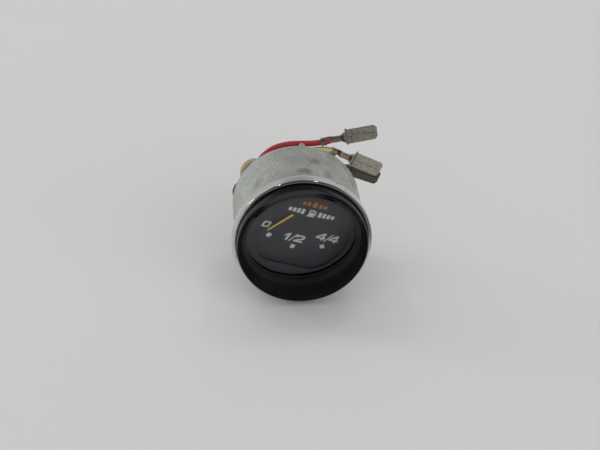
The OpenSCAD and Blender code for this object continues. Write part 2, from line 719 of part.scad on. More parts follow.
// Moulded bobbins of the two coils
module coil_formers() color("#7a3b1e") slanted() for (side = [-1, 1]) at_coil(side) difference() {
    union() {
        coil_rod(former_tube_r, former_start, former_end);
        coil_rod(former_r, former_start, former_start + former_flange);
        coil_rod(former_r, former_end - former_flange, former_end);
    }
    coil_rod(core_r + fit_gap, former_start - cut, former_end + cut);
}

module winding(side) slanted() at_coil(side) difference() {
    coil_rod(winding_r, former_start + former_flange + fit_gap, former_end - former_flange - fit_gap);
    coil_rod(former_tube_r + fit_gap, former_start, former_end);
}

module supply_winding() color("#b5602b") winding(-1);

module sender_winding() color("#8f4a20") winding(1);

// Middle of the tag board on the back of the frame plate, behind the grommet's leads
tag_at = [-12.8, -11.6];
tag_board_t = 1;
tag_t = 0.4;

// The half of space in front of a height of the slanted frame, as a cutter
module in_front_of(y) {
    slanted() disc(3 * case_r, y - 60, y);
}

module tag_board() color("#8a5a2b") slanted()
    translate([tag_at[0] - 2.4, frame_back_y, tag_at[1] - lead_gap - 1.8])
        cube([4.8, tag_board_t, 2 * lead_gap + 3.6]);

module solder_tags() color("khaki") slanted() for (i = [-1, 0, 1])
    translate([tag_at[0] - 1.7, frame_back_y + tag_board_t, tag_at[1] + i * lead_gap - 1.2])
        cube([3.4, tag_t, 2.4]);

// Short ends of the leads inside the case, from the tags to the grommet
module inner_wires() color("firebrick") difference() {
    start_y = 14;
    wire_r = 1.1;
    for (z = lead_z) disc(wire_r, start_y, grommet_in_y, grommet_x, z);
    in_front_of(frame_back_y + tag_board_t + tag_t);
}

// Moulded block that holds the slanted movement on the flat back plate
module movement_base() color("#2b2623") difference() {
    intersection() {
        union() {
            translate([-base_half, base_front_y, base_z[0]])
                cube([2 * base_half, back_in_y - base_front_y, base_z[1] - base_z[0]]);
            slanted() for (s = [-1, 1])
                disc(base_boss_r, frame_y, boss_back_y, s * bridge_screw_at[0], bridge_screw_at[1]);
        }
        along_y() cylinder(r = case_in_r - 0.3, h = back_in_y);
    }
    difference() {
        translate([-base_half + base_wall, 0, base_z[0] + base_wall])
            cube([2 * (base_half - base_wall), back_in_y - base_floor,
                base_z[1] - base_z[0] - 2 * base_wall]);
        slanted() for (s = [-1, 1])
            disc(base_boss_r, frame_y, boss_back_y, s * bridge_screw_at[0], bridge_screw_at[1]);
    }
    slanted() for (s = [-1, 1])
        disc(screw_r + press_gap, frame_y, frame_back_y + 5, s * bridge_screw_at[0], bridge_screw_at[1]);
    for (s = [-1, 1])
        disc(shank_r + fit_gap, base_front_y, back_out_y, s * stud_gap / 2, stud_z);
    in_front_of(frame_back_y);
}

// Two studs with round heads inside the movement base. A plain shank runs through the nuts, and
// the free end past them takes the clamp.
module studs() color("goldenrod") for (s = [-1, 1]) {
    head_y = back_in_y - base_floor;
    disc(stud_head_r, head_y - stud_head_h, head_y, s * stud_gap / 2, stud_z);
    disc(shank_r, head_y, free_end_y, s * stud_gap / 2, stud_z);
    disc(stud_r, free_end_y, case_depth + stud_len, s * stud_gap / 2, stud_z);
}

module insulating_washers() color("#6b4423") for (s = [-1, 1])
    ring(5, stud_r + washer_gap, back_out_y, back_out_y + washer_t, s * stud_gap / 2, stud_z);

module stud_washers() color("silver") for (s = [-1, 1])
    ring(4.4, stud_r + washer_gap, back_out_y + washer_t, back_out_y + 2 * washer_t,
        s * stud_gap / 2, stud_z);

module stud_nuts() color("goldenrod") for (s = [-1, 1]) difference() {
    nut_y = back_out_y + 2 * washer_t;
    disc(nut_af / 2 / cos(30), nut_y, nut_y + nut_h, s * stud_gap / 2, stud_z, $fn = 6);
    disc(shank_r + fit_gap, nut_y - cut, nut_y + nut_h + cut, s * stud_gap / 2, stud_z, $fn = 96);
}

// Rubber grommet with a flange on each side of the back plate
module grommet() color("#222222") translate([grommet_x, 0, grommet_z]) {
    plate(back_in_y, back_out_y) oblong(grommet_w - 2 * grommet_flange - 2 * fit_gap, 2 * lead_gap);
    plate(grommet_in_y, back_in_y) oblong(grommet_flange_w, 2 * lead_gap);
    plate(back_out_y, grommet_out_y) oblong(grommet_flange_w, 2 * lead_gap);
}

// Lamp holder: a sprung brass shell that pushes into the back plate
module lamp_shell() color("goldenrod") difference() {
    union() {
        disc(lamp_r, lamp_front_y, back_out_y, 0, lamp_z);
        disc(lamp_flange_r, back_out_y, back_out_y + washer_t, 0, lamp_z);
    }
    disc(lamp_r - lamp_sheet, lamp_front_y - cut, back_out_y - lamp_sheet, 0, lamp_z);
    disc(lamp_neck_r + fit_gap, lamp_front_y, back_out_y + washer_t + cut, 0, lamp_z);
}

module lamp_insulator() color("#5a3a22") difference() {
    union() {
        disc(lamp_r - lamp_sheet - fit_gap, lamp_front_y + 1, back_out_y - lamp_sheet, 0, lamp_z);
        disc(lamp_neck_r, back_out_y - lamp_sheet, lamp_tail_y, 0, lamp_z);
    }
    disc(bulb_cap_r + fit_gap, lamp_front_y, bulb_back_y, 0, lamp_z);
}

// Blade of the lamp holder, which stands behind its insulator
module lamp_blade() color("khaki") translate([0, lamp_tail_y, lamp_z]) plate_blade();

// A flat blade along +Y with a chamfered end, narrow enough for its insulator
module plate_blade() {
    half = lamp_blade_w / 2;
    chamfer = 1;
    translate([0, 0, -blade_t / 2]) linear_extrude(height = blade_t)
        polygon([[-half, 0], [half, 0], [half, lamp_blade_len - chamfer],
            [half - chamfer, lamp_blade_len], [-half + chamfer, lamp_blade_len],
            [-half, lamp_blade_len - chamfer]]);
}

module bulb_cap() color("silver") disc(bulb_cap_r, bulb_back_y - bulb_cap_len, bulb_back_y, 0, lamp_z);

// Glass envelope of the bulb, with a domed tip towards the dial
module bulb_glass() color([0.9, 0.9, 0.85, 0.5]) {
    bulb_front = bulb_back_y - bulb_cap_len;
    dome_h = 2;
    translate([0, 0, lamp_z]) along_y() rotate_extrude() polygon(concat(
        [[0, bulb_front], [bulb_r, bulb_front], [bulb_r, bulb_front - bulb_len + dome_h]],
        [for (a = [10:10:80]) [bulb_r * cos(a), bulb_front - bulb_len + dome_h - dome_h * sin(a)]],
        [[0, bulb_front - bulb_len]]));
}

// Unit vector
function unit(v) = v / norm(v);

// Direction of a route at a point
function heading(p, i) = unit(p[min(i + 1, len(p) - 1)] - p[max(i - 1, 0)]);

// Sideways unit vectors along a route, each carried on from the one before it
function carried(s, t) = unit(s - (s * t) * t);
function sides(p, i = 0, s = [0.3, 0.1, 1]) = i >= len(p) ? [] :
    let (now = carried(s, heading(p, i))) concat([now], sides(p, i + 1, now));

// A round tube along a route: a ring of points at each place, closed at both ends
module tube(p, d, n = 8) {
    side = sides(p);
    points = [for (i = [0:len(p) - 1]) let (t = heading(p, i), u = side[i], v = cross(t, u))
        for (k = [0:n - 1]) p[i] + d / 2 * (cos(360 * k / n) * u + sin(360 * k / n) * v)];
    last = n * (len(p) - 1);
    faces = concat(
        [[for (k = [0:n - 1]) k]],
        [for (i = [0:len(p) - 2]) for (k = [0:n - 1]) let (a = n * i + k, b = n * i + (k + 1) % n)
            [b, a, a + n, b + n]],
        [[for (k = [n - 1:-1:0]) last + k]]);
    polyhedron(points = points, faces = faces, convexity = 6);
}

module red_lead() color("red") tube(red_route, lead_d);

module yellow_lead() color("khaki") tube(yellow_route, lead_d);

module black_lead() color("#262626") tube(black_route, lead_d);

// Puts its children, made along +X, at a terminal's start and angle
module at_terminal(at, tilt) {
    translate(at) rotate([0, -tilt, 0]) children();
}

// Stripped end of a lead, from the insulation to past the conductor crimp
module strands() translate([barrel_at[0], 0, 0]) rotate([0, 90, 0])
    cylinder(r = strand_r, h = barrel_at[1] - barrel_at[0] + strand_end);

module bare_strands() color("peru") {
    at_terminal(red_end, red_tilt) strands();
    at_terminal(yellow_end, yellow_tilt) strands();
    at_terminal(black_end, black_tilt) strands();
}

// Blade terminal: two crimps, a narrow neck, a pair of ears and a flat blade
module terminal() difference() {
    back = lead_d / 2 + fit_gap;
    union() {
        rotate([0, 90, 0]) cylinder(r = back + strip_t, h = crimp_len);
        translate([barrel_at[0], 0, 0]) rotate([0, 90, 0])
            cylinder(r = strand_r + 2 * strip_t, h = barrel_at[1] - barrel_at[0]);
        translate([0, back, -neck_half]) cube([barrel_at[0] + 1, strip_t, 2 * neck_half]);
        translate([barrel_at[0], strand_r, -neck_half])
            cube([1, back - strand_r + strip_t, 2 * neck_half]);
        translate([0, strand_r + strip_t, 0]) rotate([90, 0, 0]) linear_extrude(height = strip_t)
            polygon([[barrel_at[0], -neck_half], [barrel_at[1], -neck_half],
                [ear_at[0], -shoulder_half], [blade_at, -shoulder_half],
                [blade_at, shoulder_half], [ear_at[0], shoulder_half],
                [barrel_at[1], neck_half], [barrel_at[0], neck_half]]);
        translate([ear_at[0], strand_r, -blade_w / 2 - ear_over])
            cube([ear_at[1] - ear_at[0], strip_t, blade_w + 2 * ear_over]);
        translate([0, strand_r + strip_t, 0]) rotate([90, 0, 0]) linear_extrude(height = blade_t)
            polygon([[blade_at - 0.6, -blade_w / 2], [terminal_len - blade_chamfer, -blade_w / 2],
                [terminal_len, -blade_w / 2 + blade_chamfer],
                [terminal_len, blade_w / 2 - blade_chamfer],
                [terminal_len - blade_chamfer, blade_w / 2], [blade_at - 0.6, blade_w / 2]]);
    }
    rotate([0, 90, 0]) cylinder(r = strand_r + fit_gap, h = barrel_at[1] + strand_end + cut);
    rotate([0, 90, 0]) translate([0, 0, -cut]) cylinder(r = back, h = crimp_len + 2 * cut);
}

module red_terminal() color("rosybrown") at_terminal(red_end, red_tilt) terminal();

module yellow_terminal() color("tan") at_terminal(yellow_end, yellow_tilt) terminal();

module black_terminal() color("gray") at_terminal(black_end, black_tilt) terminal();

case_shell();
back_plate();
bezel_ring();
hood();
glass_seal();
glass();
spacer_ring();
dial_plate();
dial_print();
dial_mask();
mask_print();
dial_screws();
pointer();
pointer_hub();
staff();
armature_vane();
balance_arm();
front_bridge();
stop_pins();
bearings();
bridge_screws();
dial_pillars();
frame_plate();
coil_cores();
coil_formers();
supply_winding();
sender_winding();
tag_board();
solder_tags();
inner_wires();
movement_base();
studs();
insulating_washers();
stud_washers();
stud_nuts();
grommet();
lamp_shell();
lamp_insulator();
lamp_blade();
bulb_cap();
bulb_glass();
red_lead();
yellow_lead();
black_lead();
bare_strands();
red_terminal();
yellow_terminal();
black_terminal();
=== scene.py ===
"""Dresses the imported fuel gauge: camera, leads, floor and light, then every piece that shows."""
import json
import math

import bmesh
import bpy
from mathutils import Matrix, Vector, noise

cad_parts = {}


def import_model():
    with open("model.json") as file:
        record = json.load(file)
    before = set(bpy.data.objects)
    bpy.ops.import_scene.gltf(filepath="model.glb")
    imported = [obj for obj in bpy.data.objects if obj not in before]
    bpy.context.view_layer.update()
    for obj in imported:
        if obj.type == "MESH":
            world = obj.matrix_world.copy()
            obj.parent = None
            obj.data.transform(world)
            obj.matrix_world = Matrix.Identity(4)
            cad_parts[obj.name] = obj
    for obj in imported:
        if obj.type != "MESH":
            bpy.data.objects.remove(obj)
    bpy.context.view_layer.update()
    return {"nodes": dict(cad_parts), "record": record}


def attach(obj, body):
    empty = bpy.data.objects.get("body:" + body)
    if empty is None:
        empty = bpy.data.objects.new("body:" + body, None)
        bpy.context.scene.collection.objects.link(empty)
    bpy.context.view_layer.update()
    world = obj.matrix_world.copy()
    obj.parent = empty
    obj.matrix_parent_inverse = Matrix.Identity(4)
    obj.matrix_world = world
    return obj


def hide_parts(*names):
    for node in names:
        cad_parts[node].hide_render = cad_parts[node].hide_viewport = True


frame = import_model()

MM = 0.001
ROOT = "gauge"

# Sizes in millimetres, named as in the CAD
CASE_R, CASE_WALL, CASE_DEPTH, CASE_EDGE_R, BACK_RIM, BACK_OUT_Y = 26.0, 0.8, 28.0, 2.0, 3.0, 27.2
FLANGE_R, FLANGE_FRONT_Y, FLANGE_BACK_Y, NECK_R = 27.1, -1.1, -0.45, 25.5
LUG_ANGLE, LUG_R, LUG_Y, LUG_T = 105.4, 24.0, 27.6, 0.9
BEZEL_R, BEZEL_LEN, BEZEL_T, BEZEL_ROUND, BEZEL_HEEL = 27.6, 4.7, 0.4, 0.7, 0.9
CREST_Y, CREST_R, CREST_W, HOOD_BASE_R, SHOULDER_Y = -8.2, 25.8, 0.5, 25.9, -4.25
LIP_Y, WINDOW_R, LIP_W, LIP_T = -1.85, 21.9, 0.6, 0.5
CONE_SHARE, HOOD_STEPS = 0.66, 4
GLASS_R, GLASS_Y, SPACER_Y, SEAT_GAP = 23.2, 0.9, 2.4, 0.1
DIAL_Y, DIAL_T, MASK_Y, PRINT_T = 4.6, 0.6, 2.6, 0.05
POINTER_Y, POINTER_T, POINTER_LEN, NEEDLE_LEN, TAIL_LEN, PIVOT_Z = 3.2, 0.2, 21.4, 18, 5, 14.3
POINTER_HALF, BOSS_R, STAFF_HOLE_R = 0.6, 1.6, 0.52
LEAD_D, STRIP_T, STRAND_R = 2.4, 0.4, 0.7
STUD_X, STUD_Z, STUD_R, STUD_HEAD_R, STUD_NECK_R = 8.5, 6.0, 2.0, 2.9, 1.75
NUT_AF, NUT_Y, NUT_BACK_Y = 7.0, 28.8, 32.0
LAMP_Z, LAMP_R, LAMP_FLANGE_R, LAMP_FRONT_Y, LAMP_BLADE_HALF = -14.0, 5.95, 7.0, 19.0, 2.4
GROMMET_X, GROMMET_Z, GROMMET_OUT_Y = -15.0, -8.0, 29.2
SLANT, SLANT_DIR = math.radians(12.5), math.radians(-58)
SLANT_AXIS = Vector((-math.sin(SLANT_DIR), 0, math.cos(SLANT_DIR)))
CRANK, REST_ANGLE = math.radians(7.4), math.radians(39)


def tilted(share=1.0, y=LIP_Y):
    """The slanted frame of window, dial and movement, or a share of its slant."""
    return Matrix.Translation((0, y, 0)) @ Matrix.Rotation(SLANT * share, 4, SLANT_AXIS)


SLANTED = tilted()

# Camera, at the photograph's viewpoint
CAMERA_AT = Vector((-147.5, -465.7, 258.7)) * MM
CAMERA_RIGHT, CAMERA_UP = Vector((0.9239, -0.0843, 0.3732)), Vector((-0.2770, 0.5254, 0.8045))
FOCAL_LENGTH, SENSOR_WIDTH, CLIP_START = 84, 36, 0.01


def look_camera():
    back = CAMERA_RIGHT.cross(CAMERA_UP).normalized()
    up = back.cross(CAMERA_RIGHT).normalized()
    data = bpy.data.cameras.new("camera")
    data.lens = FOCAL_LENGTH
    data.sensor_width = SENSOR_WIDTH
    data.clip_start = CLIP_START
    cam = bpy.data.objects.new("camera", data)
    turn = Matrix((CAMERA_RIGHT.normalized(), up, back)).transposed().to_4x4()
    cam.matrix_world = Matrix.Translation(CAMERA_AT) @ turn
    bpy.context.scene.collection.objects.link(cam)
    bpy.context.scene.camera = cam


look_camera()


class Finish:
    """A node material; its coordinates, self.mm, are millimetres of the object's own space."""

    def __init__(self, name, color, rough=0.5, metal=0.0, **sockets):
        self.mat = bpy.data.materials.new(name)
        self.mat.use_nodes = True
        self.tree = self.mat.node_tree
        self.bsdf = self.tree.nodes["Principled BSDF"]
        self.bsdf.inputs["Base Color"].default_value = (*color, 1)
        self.bsdf.inputs["Roughness"].default_value = rough
        self.bsdf.inputs["Metallic"].default_value = metal
        for key, value in sockets.items():
            self.bsdf.inputs[key.replace("_", " ")].default_value = value
        coord = self.new("ShaderNodeTexCoord")
        scale = self.new("ShaderNodeVectorMath", operation="SCALE")
        scale.inputs["Scale"].default_value = 1 / MM
        self.link(coord.outputs["Object"], scale.inputs[0])
        self.mm = scale.outputs[0]

    def new(self, kind, **props):
        made = self.tree.nodes.new(kind)
        for key, value in props.items():
            setattr(made, key, value)
        return made

    def link(self, a, b):
        self.tree.links.new(a, b)

    def set(self, made, key, value):
        """Gives an input a number or a colour, or links an output to it."""
        if isinstance(value, bpy.types.NodeSocket):
            self.link(value, made.inputs[key])
        else:
            made.inputs[key].default_value = value

    def axes(self):
        """The coordinates as separate outputs X, Y and Z."""
        split = self.new("ShaderNodeSeparateXYZ")
        self.link(self.mm, split.inputs[0])
        return split.outputs

    def stretch(self, x, y, z, source=None):
        scale = self.new("ShaderNodeVectorMath", operation="MULTIPLY")
        scale.inputs[1].default_value = (x, y, z)
        self.link(source or self.mm, scale.inputs[0])
        return scale.outputs[0]

    def noise(self, scale, detail=4.0, rough=0.55, source=None, distort=0.0):
        """Smooth noise; scale is in waves per millimetre."""
        made = self.new("ShaderNodeTexNoise")
        self.link(source or self.mm, made.inputs["Vector"])
        made.inputs["Scale"].default_value = scale
        made.inputs["Detail"].default_value = detail
        made.inputs["Roughness"].default_value = rough
        made.inputs["Distortion"].default_value = distort
        return made.outputs["Fac"]

    def cells(self, scale):
        """The distance to the nearest of scattered points; scale is in cells per millimetre."""
        made = self.new("ShaderNodeTexVoronoi", feature="F1")
        self.link(self.mm, made.inputs["Vector"])
        made.inputs["Scale"].default_value = scale
        return made.outputs["Distance"]

    def remap(self, value, a, b, low=0.0, high=1.0):
        """Eases from low to high as the value goes from a to b."""
        made = self.new("ShaderNodeMapRange", interpolation_type="SMOOTHSTEP")
        self.link(value, made.inputs["Value"])
        for key, number in (("From Min", a), ("From Max", b), ("To Min", low), ("To Max", high)):
            made.inputs[key].default_value = number
        return made.outputs["Result"]

    def math(self, kind, a, b):
        made = self.new("ShaderNodeMath", operation=kind)
        self.set(made, 0, a)
        self.set(made, 1, b)
        return made.outputs[0]

    def times(self, a, b):
        return self.math("MULTIPLY", a, b)

    def mix(self, fac, a, b):
        made = self.new("ShaderNodeMix", data_type="RGBA")
        for key, value in ((0, fac), (6, a), (7, b)):
            if isinstance(value, tuple):
                value = (*value, 1)
            self.set(made, key, value)
        return made.outputs[2]

    def cover(self, tone, color, where, strength):
        """Mixes a colour into a tone, by up to strength where the output is 1."""
        return self.mix(self.times(where, strength), tone, color)

    def mix_shader(self, fac, other):
        """Blends the surface with another shader."""
        blend = self.new("ShaderNodeMixShader")
        for key, output in enumerate((fac, self.bsdf.outputs[0], other)):
            self.link(output, blend.inputs[key])
        self.link(blend.outputs[0], self.tree.nodes["Material Output"].inputs["Surface"])

    def bump(self, height, depth, strength):
        """depth is the height's span in millimetres."""
        made = self.new("ShaderNodeBump")
        made.inputs["Strength"].default_value = strength
        made.inputs["Distance"].default_value = depth * MM
        self.link(height, made.inputs["Height"])
        self.link(made.outputs["Normal"], self.bsdf.inputs["Normal"])

    def color(self, value):
        self.link(value, self.bsdf.inputs["Base Color"])

    def rough(self, value):
        self.link(value, self.bsdf.inputs["Roughness"])


# Patches on the case: place, half size, colour and strength
ZINC_STAINS = [
    ((-8.3, 6.2, 24.6), (6.0, 4.0, 4), (0.2, 0.185, 0.09), 0.85),
    ((-3.5, 15.0, 25.8), (4.5, 4.5, 4), (0.21, 0.2, 0.12), 0.7),
    ((1.5, 6.5, 25.9), (3.0, 5.0, 4), (0.26, 0.28, 0.26), 0.6),
    ((-22.5, 8.0, 12.0), (3.0, 5.0, 5), (0.26, 0.25, 0.17), 0.6),
    ((15.0, 14.0, 21.0), (3.0, 6.0, 3), (0.22, 0.23, 0.19), 0.6),
    ((11.5, 22.0, 23.2), (3.0, 3.0, 3), (0.16, 0.17, 0.14), 0.6),
]
STAIN_EDGE = 1.5


def stain(f, tone, at, size, color, strength):
    """Mixes a ragged patch into a tone; size is its half length along X, Y and Z."""
    near = f.new("ShaderNodeVectorMath", operation="SUBTRACT")
    f.link(f.mm, near.inputs[0])
    near.inputs[1].default_value = at
    reach = f.new("ShaderNodeVectorMath", operation="LENGTH")
    f.link(f.stretch(*(1 / s for s in size), source=near.outputs[0]), reach.inputs[0])
    ragged = f.math("ADD", reach.outputs["Value"], f.times(f.noise(0.4, 6, 0.68), STAIN_EDGE))
    middle = STAIN_EDGE * 0.42
    return f.cover(tone, color, f.remap(ragged, 1.0 + middle, 0.1 + middle), strength)


def zinc():
    """Dull plating with cloudy tones, fine speckle, a few dark specks and stains."""
    f = Finish("zinc", (0.45, 0.47, 0.44), 0.5, 0.75)
    cloud, patch = f.noise(0.14, 4, 0.55), f.noise(0.5, 6, 0.65, distort=0.4)
    fine, speckle, dots = f.noise(2.6, 4, 0.65), f.noise(1.1, 5, 0.7), f.cells(0.9)
    specks = f.times(f.remap(dots, 0.2, 0.08), f.remap(f.noise(0.3, 3), 0.45, 0.62))
    tone = f.mix(f.remap(cloud, 0.35, 0.65), (0.52, 0.55, 0.51), (0.63, 0.66, 0.625))
    for color, where, strength in (
            ((0.42, 0.425, 0.36), f.remap(patch, 0.5, 0.72), 0.45),
            ((0.36, 0.375, 0.35), f.remap(fine, 0.42, 0.68), 0.55),
            ((0.29, 0.305, 0.27), f.remap(speckle, 0.5, 0.66), 0.55),
            ((0.7, 0.73, 0.71), f.remap(speckle, 0.42, 0.3), 0.4),
            ((0.12, 0.12, 0.11), specks, 0.7)):
        tone = f.cover(tone, color, where, strength)
    for at, size, color, strength in ZINC_STAINS:
        tone = stain(f, tone, at, size, color, strength)
    f.color(tone)
    f.rough(f.remap(f.noise(1.1, 5, 0.6), 0.3, 0.7, 0.42, 0.62))
    f.bump(f.math("ADD", fine, f.remap(dots, 0.2, 0.0, 0, -0.6)), 0.03, 0.6)
    return f.mat


def bezel_chrome():
    """Bright plating, lighter and rougher low down, where it is also worn and pitted, with a
    painted dark reflection along the upper part of the inner lip.
    """
    f = Finish("bezel_chrome", (0.6, 0.595, 0.61), 0.12, 1.0)
    at = f.axes()
    low = f.remap(at["Z"], 16, 4)
    worn = f.times(f.remap(f.noise(0.1, 3, 0.5), 0.35, 0.6), low)
    pit = f.times(f.remap(f.cells(1.9), 0.3, 0.12), worn)
    grime = f.times(f.remap(f.noise(1.6, 5, 0.65), 0.42, 0.7), worn)
    # Painted dark reflection: the front lip's upper part is darkened as if it mirrored a dim room.
    lip = f.times(f.remap(at["Y"], -BEZEL_LEN + 0.34, -BEZEL_LEN + 0.12), f.remap(at["Z"], 2, 14))
    # Lighter in colour towards the bottom.
    tone = f.mix(low, (0.6, 0.595, 0.61), (0.72, 0.72, 0.7))
    tone = f.cover(tone, (0.3, 0.3, 0.28), grime, 0.6)
    tone = f.cover(tone, (0.16, 0.15, 0.13), pit, 0.75)
    # The painted dark reflection on the lip is mixed in last.
    f.color(f.cover(tone, (0.13, 0.1, 0.1), lip, 0.85))
    f.rough(f.math("ADD", f.times(low, 0.22), f.math("ADD", 0.06, f.times(pit, 0.4))))
    f.bump(f.math("SUBTRACT", f.noise(0.5, 3, 0.5), f.times(pit, 0.5)), 0.012, 0.25)
    return f.mat


def hood_black():
    """Glossy black with a few grains of dust."""
    black = (0.0058, 0.0052, 0.0075)
    f = Finish("hood_black", black, 0.22, 0.0, Specular_IOR_Level=0.55)
    dust = f.times(f.remap(f.cells(0.8), 0.07, 0.03), f.remap(f.noise(0.25, 3), 0.5, 0.6))
    f.color(f.cover(black, (0.1, 0.1, 0.1), dust, 0.4))
    f.rough(f.remap(f.noise(0.7, 4, 0.6), 0.3, 0.7, 0.07, 0.13))
    f.bump(f.noise(1.5, 3, 0.5), 0.006, 0.3)
    return f.mat


def dial_black():
    f = Finish("dial_black", (0.06, 0.06, 0.067), 0.8, 0.0, Specular_IOR_Level=0.2)
    grain = f.noise(9.0, 4, 0.6)
    f.color(f.mix(f.remap(grain, 0.3, 0.7), (0.062, 0.061, 0.07), (0.07, 0.069, 0.079)))
    f.bump(grain, 0.004, 0.4)
    return f.mat


def window_glass():
    """Clear glass that lets the lamps' light through to the dial."""
    f = Finish("window_glass", (1.0, 1.0, 1.0), 0.02, 0.0, IOR=1.16, Transmission_Weight=1.0)
    f.rough(f.remap(f.noise(0.6, 4, 0.6), 0.45, 0.8, 0.012, 0.05))
    clear = f.new("ShaderNodeBsdfTransparent")
    clear.inputs["Color"].default_value = (0.9, 0.92, 0.91, 1)
    f.mix_shader(f.new("ShaderNodeLightPath").outputs["Is Shadow Ray"], clear.outputs[0])
    return f.mat


def print_paint(name, color, worn):
    f = Finish(name, color, 0.55)
    f.color(f.cover(color, worn, f.remap(f.noise(2.4, 5, 0.65), 0.42, 0.7), 0.6))
    f.bump(f.noise(5.0, 3), 0.01, 0.5)
    return f.mat


def insulation(name, color, worn, stripe=None, left_tone=None):
    """A lead's covering; a stripe runs along it, and its tone blends partly into a second one
    towards the case's left.
    """
    f = Finish(name, color, 0.42)
    tone = f.cover(color, worn, f.remap(f.noise(0.7, 5, 0.65), 0.45, 0.75), 0.7)
    if stripe:
        around = f.new("ShaderNodeAttribute", attribute_name="around").outputs["Fac"]
        edge = f.math("ADD", around, f.times(f.noise(1.2, 3), 0.06))
        tracer = f.times(f.remap(edge, 0.36, 0.4), f.remap(edge, 0.66, 0.62))
        # Blends towards the second tone on the case's left side.
        tone = f.mix(f.remap(f.axes()["X"], -9, -16, 0, 0.6), tone, left_tone)
        tone = f.mix(tracer, tone, stripe)
    f.color(tone)
    f.rough(f.remap(f.noise(1.5, 4), 0.35, 0.7, 0.36, 0.55))
    f.bump(f.noise(1.8, 5, 0.6), 0.03, 0.5)
    return f.mat


def metal(name, color, dark, rough=0.35, scale=1.2, brushed=None):
    """Tarnished metal; brushed stretches the grain of its roughness and bump."""
    f = Finish(name, color, rough, 1.0)
    source = f.stretch(*brushed) if brushed else None
    f.color(f.cover(color, dark, f.remap(f.noise(scale, 6, 0.65, distort=0.3), 0.42, 0.72), 0.8))
    f.rough(f.remap(f.noise(scale * 2, 4, 0.6, source), 0.3, 0.7, rough * 0.75, rough * 1.35))
    f.bump(f.noise(scale * 3, 5, 0.6, source), 0.015, 0.6)
    return f.mat


def tinned(name, color, dark, rough=0.42):
    return metal(name, color, dark, rough, 0.9, (0.3, 1, 1.6))


def plain(name, color, other, rough):
    """A mottled, slightly uneven surface such as rubber or moulded plastic."""
    f = Finish(name, color, rough)
    f.color(f.mix(f.remap(f.noise(2.0, 5, 0.6), 0.35, 0.7), color, other))
    f.rough(f.remap(f.noise(3.4, 4), 0.3, 0.7, rough * 0.8, rough * 1.25))
    f.bump(f.noise(6.0, 5, 0.6), 0.02, 0.6)
    return f.mat


def bulb_clear():
    f = Finish("bulb_clear", (0.95, 0.95, 0.93), 0.04, 0.0, IOR=1.5, Transmission_Weight=1.0)
    f.rough(f.remap(f.noise(1.0, 3), 0.3, 0.7, 0.02, 0.08))
    return f.mat


MATS = {
    "zinc": zinc(),
    "bezel_chrome": bezel_chrome(),
    "hood_black": hood_black(),
    "black_rubber": plain("black_rubber", (0.02, 0.02, 0.021), (0.045, 0.044, 0.042), 0.6),
    "window_glass": window_glass(),
    "dial_black": dial_black(),
    "white_print": print_paint("white_print", (0.6, 0.6, 0.6), (0.42, 0.42, 0.42)),
    "steel": metal("steel", (0.55, 0.55, 0.55), (0.3, 0.29, 0.27), 0.3),
    "pointer_yellow": print_paint("pointer_yellow", (0.66, 0.45, 0.06), (0.42, 0.3, 0.05)),
    "brass": metal("brass", (0.62, 0.47, 0.2), (0.32, 0.22, 0.1), 0.3),
    "soft_iron": metal("soft_iron", (0.3, 0.3, 0.31), (0.16, 0.13, 0.11), 0.5),
    "former_brown": plain("former_brown", (0.2, 0.09, 0.04), (0.13, 0.06, 0.03), 0.4),
    "enamelled_wire": metal("enamelled_wire", (0.5, 0.2, 0.08), (0.3, 0.1, 0.05), scale=4.0),
    "base_black": plain("base_black", (0.03, 0.027, 0.025), (0.05, 0.045, 0.04), 0.45),
    "red_insulation": insulation("red_insulation", (0.46, 0.028, 0.035), (0.3, 0.045, 0.05)),
    "yellow_insulation": insulation("yellow_insulation", (0.82, 0.67, 0.3), (0.52, 0.44, 0.27),
                                    stripe=(0.04, 0.035, 0.03), left_tone=(0.4, 0.37, 0.3)),
    "black_insulation": insulation("black_insulation", (0.025, 0.025, 0.026),
                                   (0.06, 0.058, 0.055)),
    "copper": metal("copper", (0.42, 0.13, 0.055), (0.16, 0.05, 0.03), 0.4, 2.5),
    "tinned": tinned("tinned", (0.34, 0.325, 0.28), (0.17, 0.15, 0.125)),
    "nickel": metal("nickel", (0.5, 0.49, 0.46), (0.3, 0.29, 0.27), 0.25),
    "bulb_clear": bulb_clear(),
}
# Lit and shaded copies of the tinned finish: the yellow lead's terminal is painted lighter as
# painted light, and the black lead's, lying under it, darker as painted shade.
TINNED = {
    "red_terminal": MATS["tinned"],
    "yellow_terminal": tinned("tinned_painted_light", (0.5, 0.48, 0.4), (0.27, 0.245, 0.19)),
    "black_terminal": tinned("tinned_painted_shade", (0.14, 0.13, 0.11), (0.07, 0.065, 0.05), 0.45),
}
ORANGE = print_paint("orange_print", (0.4, 0.15, 0.02), (0.26, 0.1, 0.02))

for sub in frame["record"]["subparts"]:
    for holder in frame["nodes"][sub["node"]].material_slots:
        holder.material = MATS[sub["material_slot"]]


# Mesh helpers: points are in millimetres, in the row frame or in a frame given by place
def piece(name, points, faces, slot, place=None, body=ROOT, replaces=(), sharp=35, mat=None):
    mesh = bpy.data.meshes.new(name)
    mesh.from_pydata([tuple(p) for p in points], [], faces)
    work = bmesh.new()
    work.from_mesh(mesh)
    bmesh.ops.recalc_face_normals(work, faces=work.faces)
    work.to_mesh(mesh)
    work.free()
    mesh.transform(Matrix.Scale(MM, 4) @ (place or Matrix.Identity(4)))
    mesh.shade_smooth()
    mesh.set_sharp_from_angle(angle=math.radians(sharp))
    mesh.materials.append(mat or MATS[slot])
    obj = bpy.data.objects.new(name, mesh)
    bpy.context.scene.collection.objects.link(obj)
    if replaces:
        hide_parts(*replaces)
    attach(obj, body)
    return obj


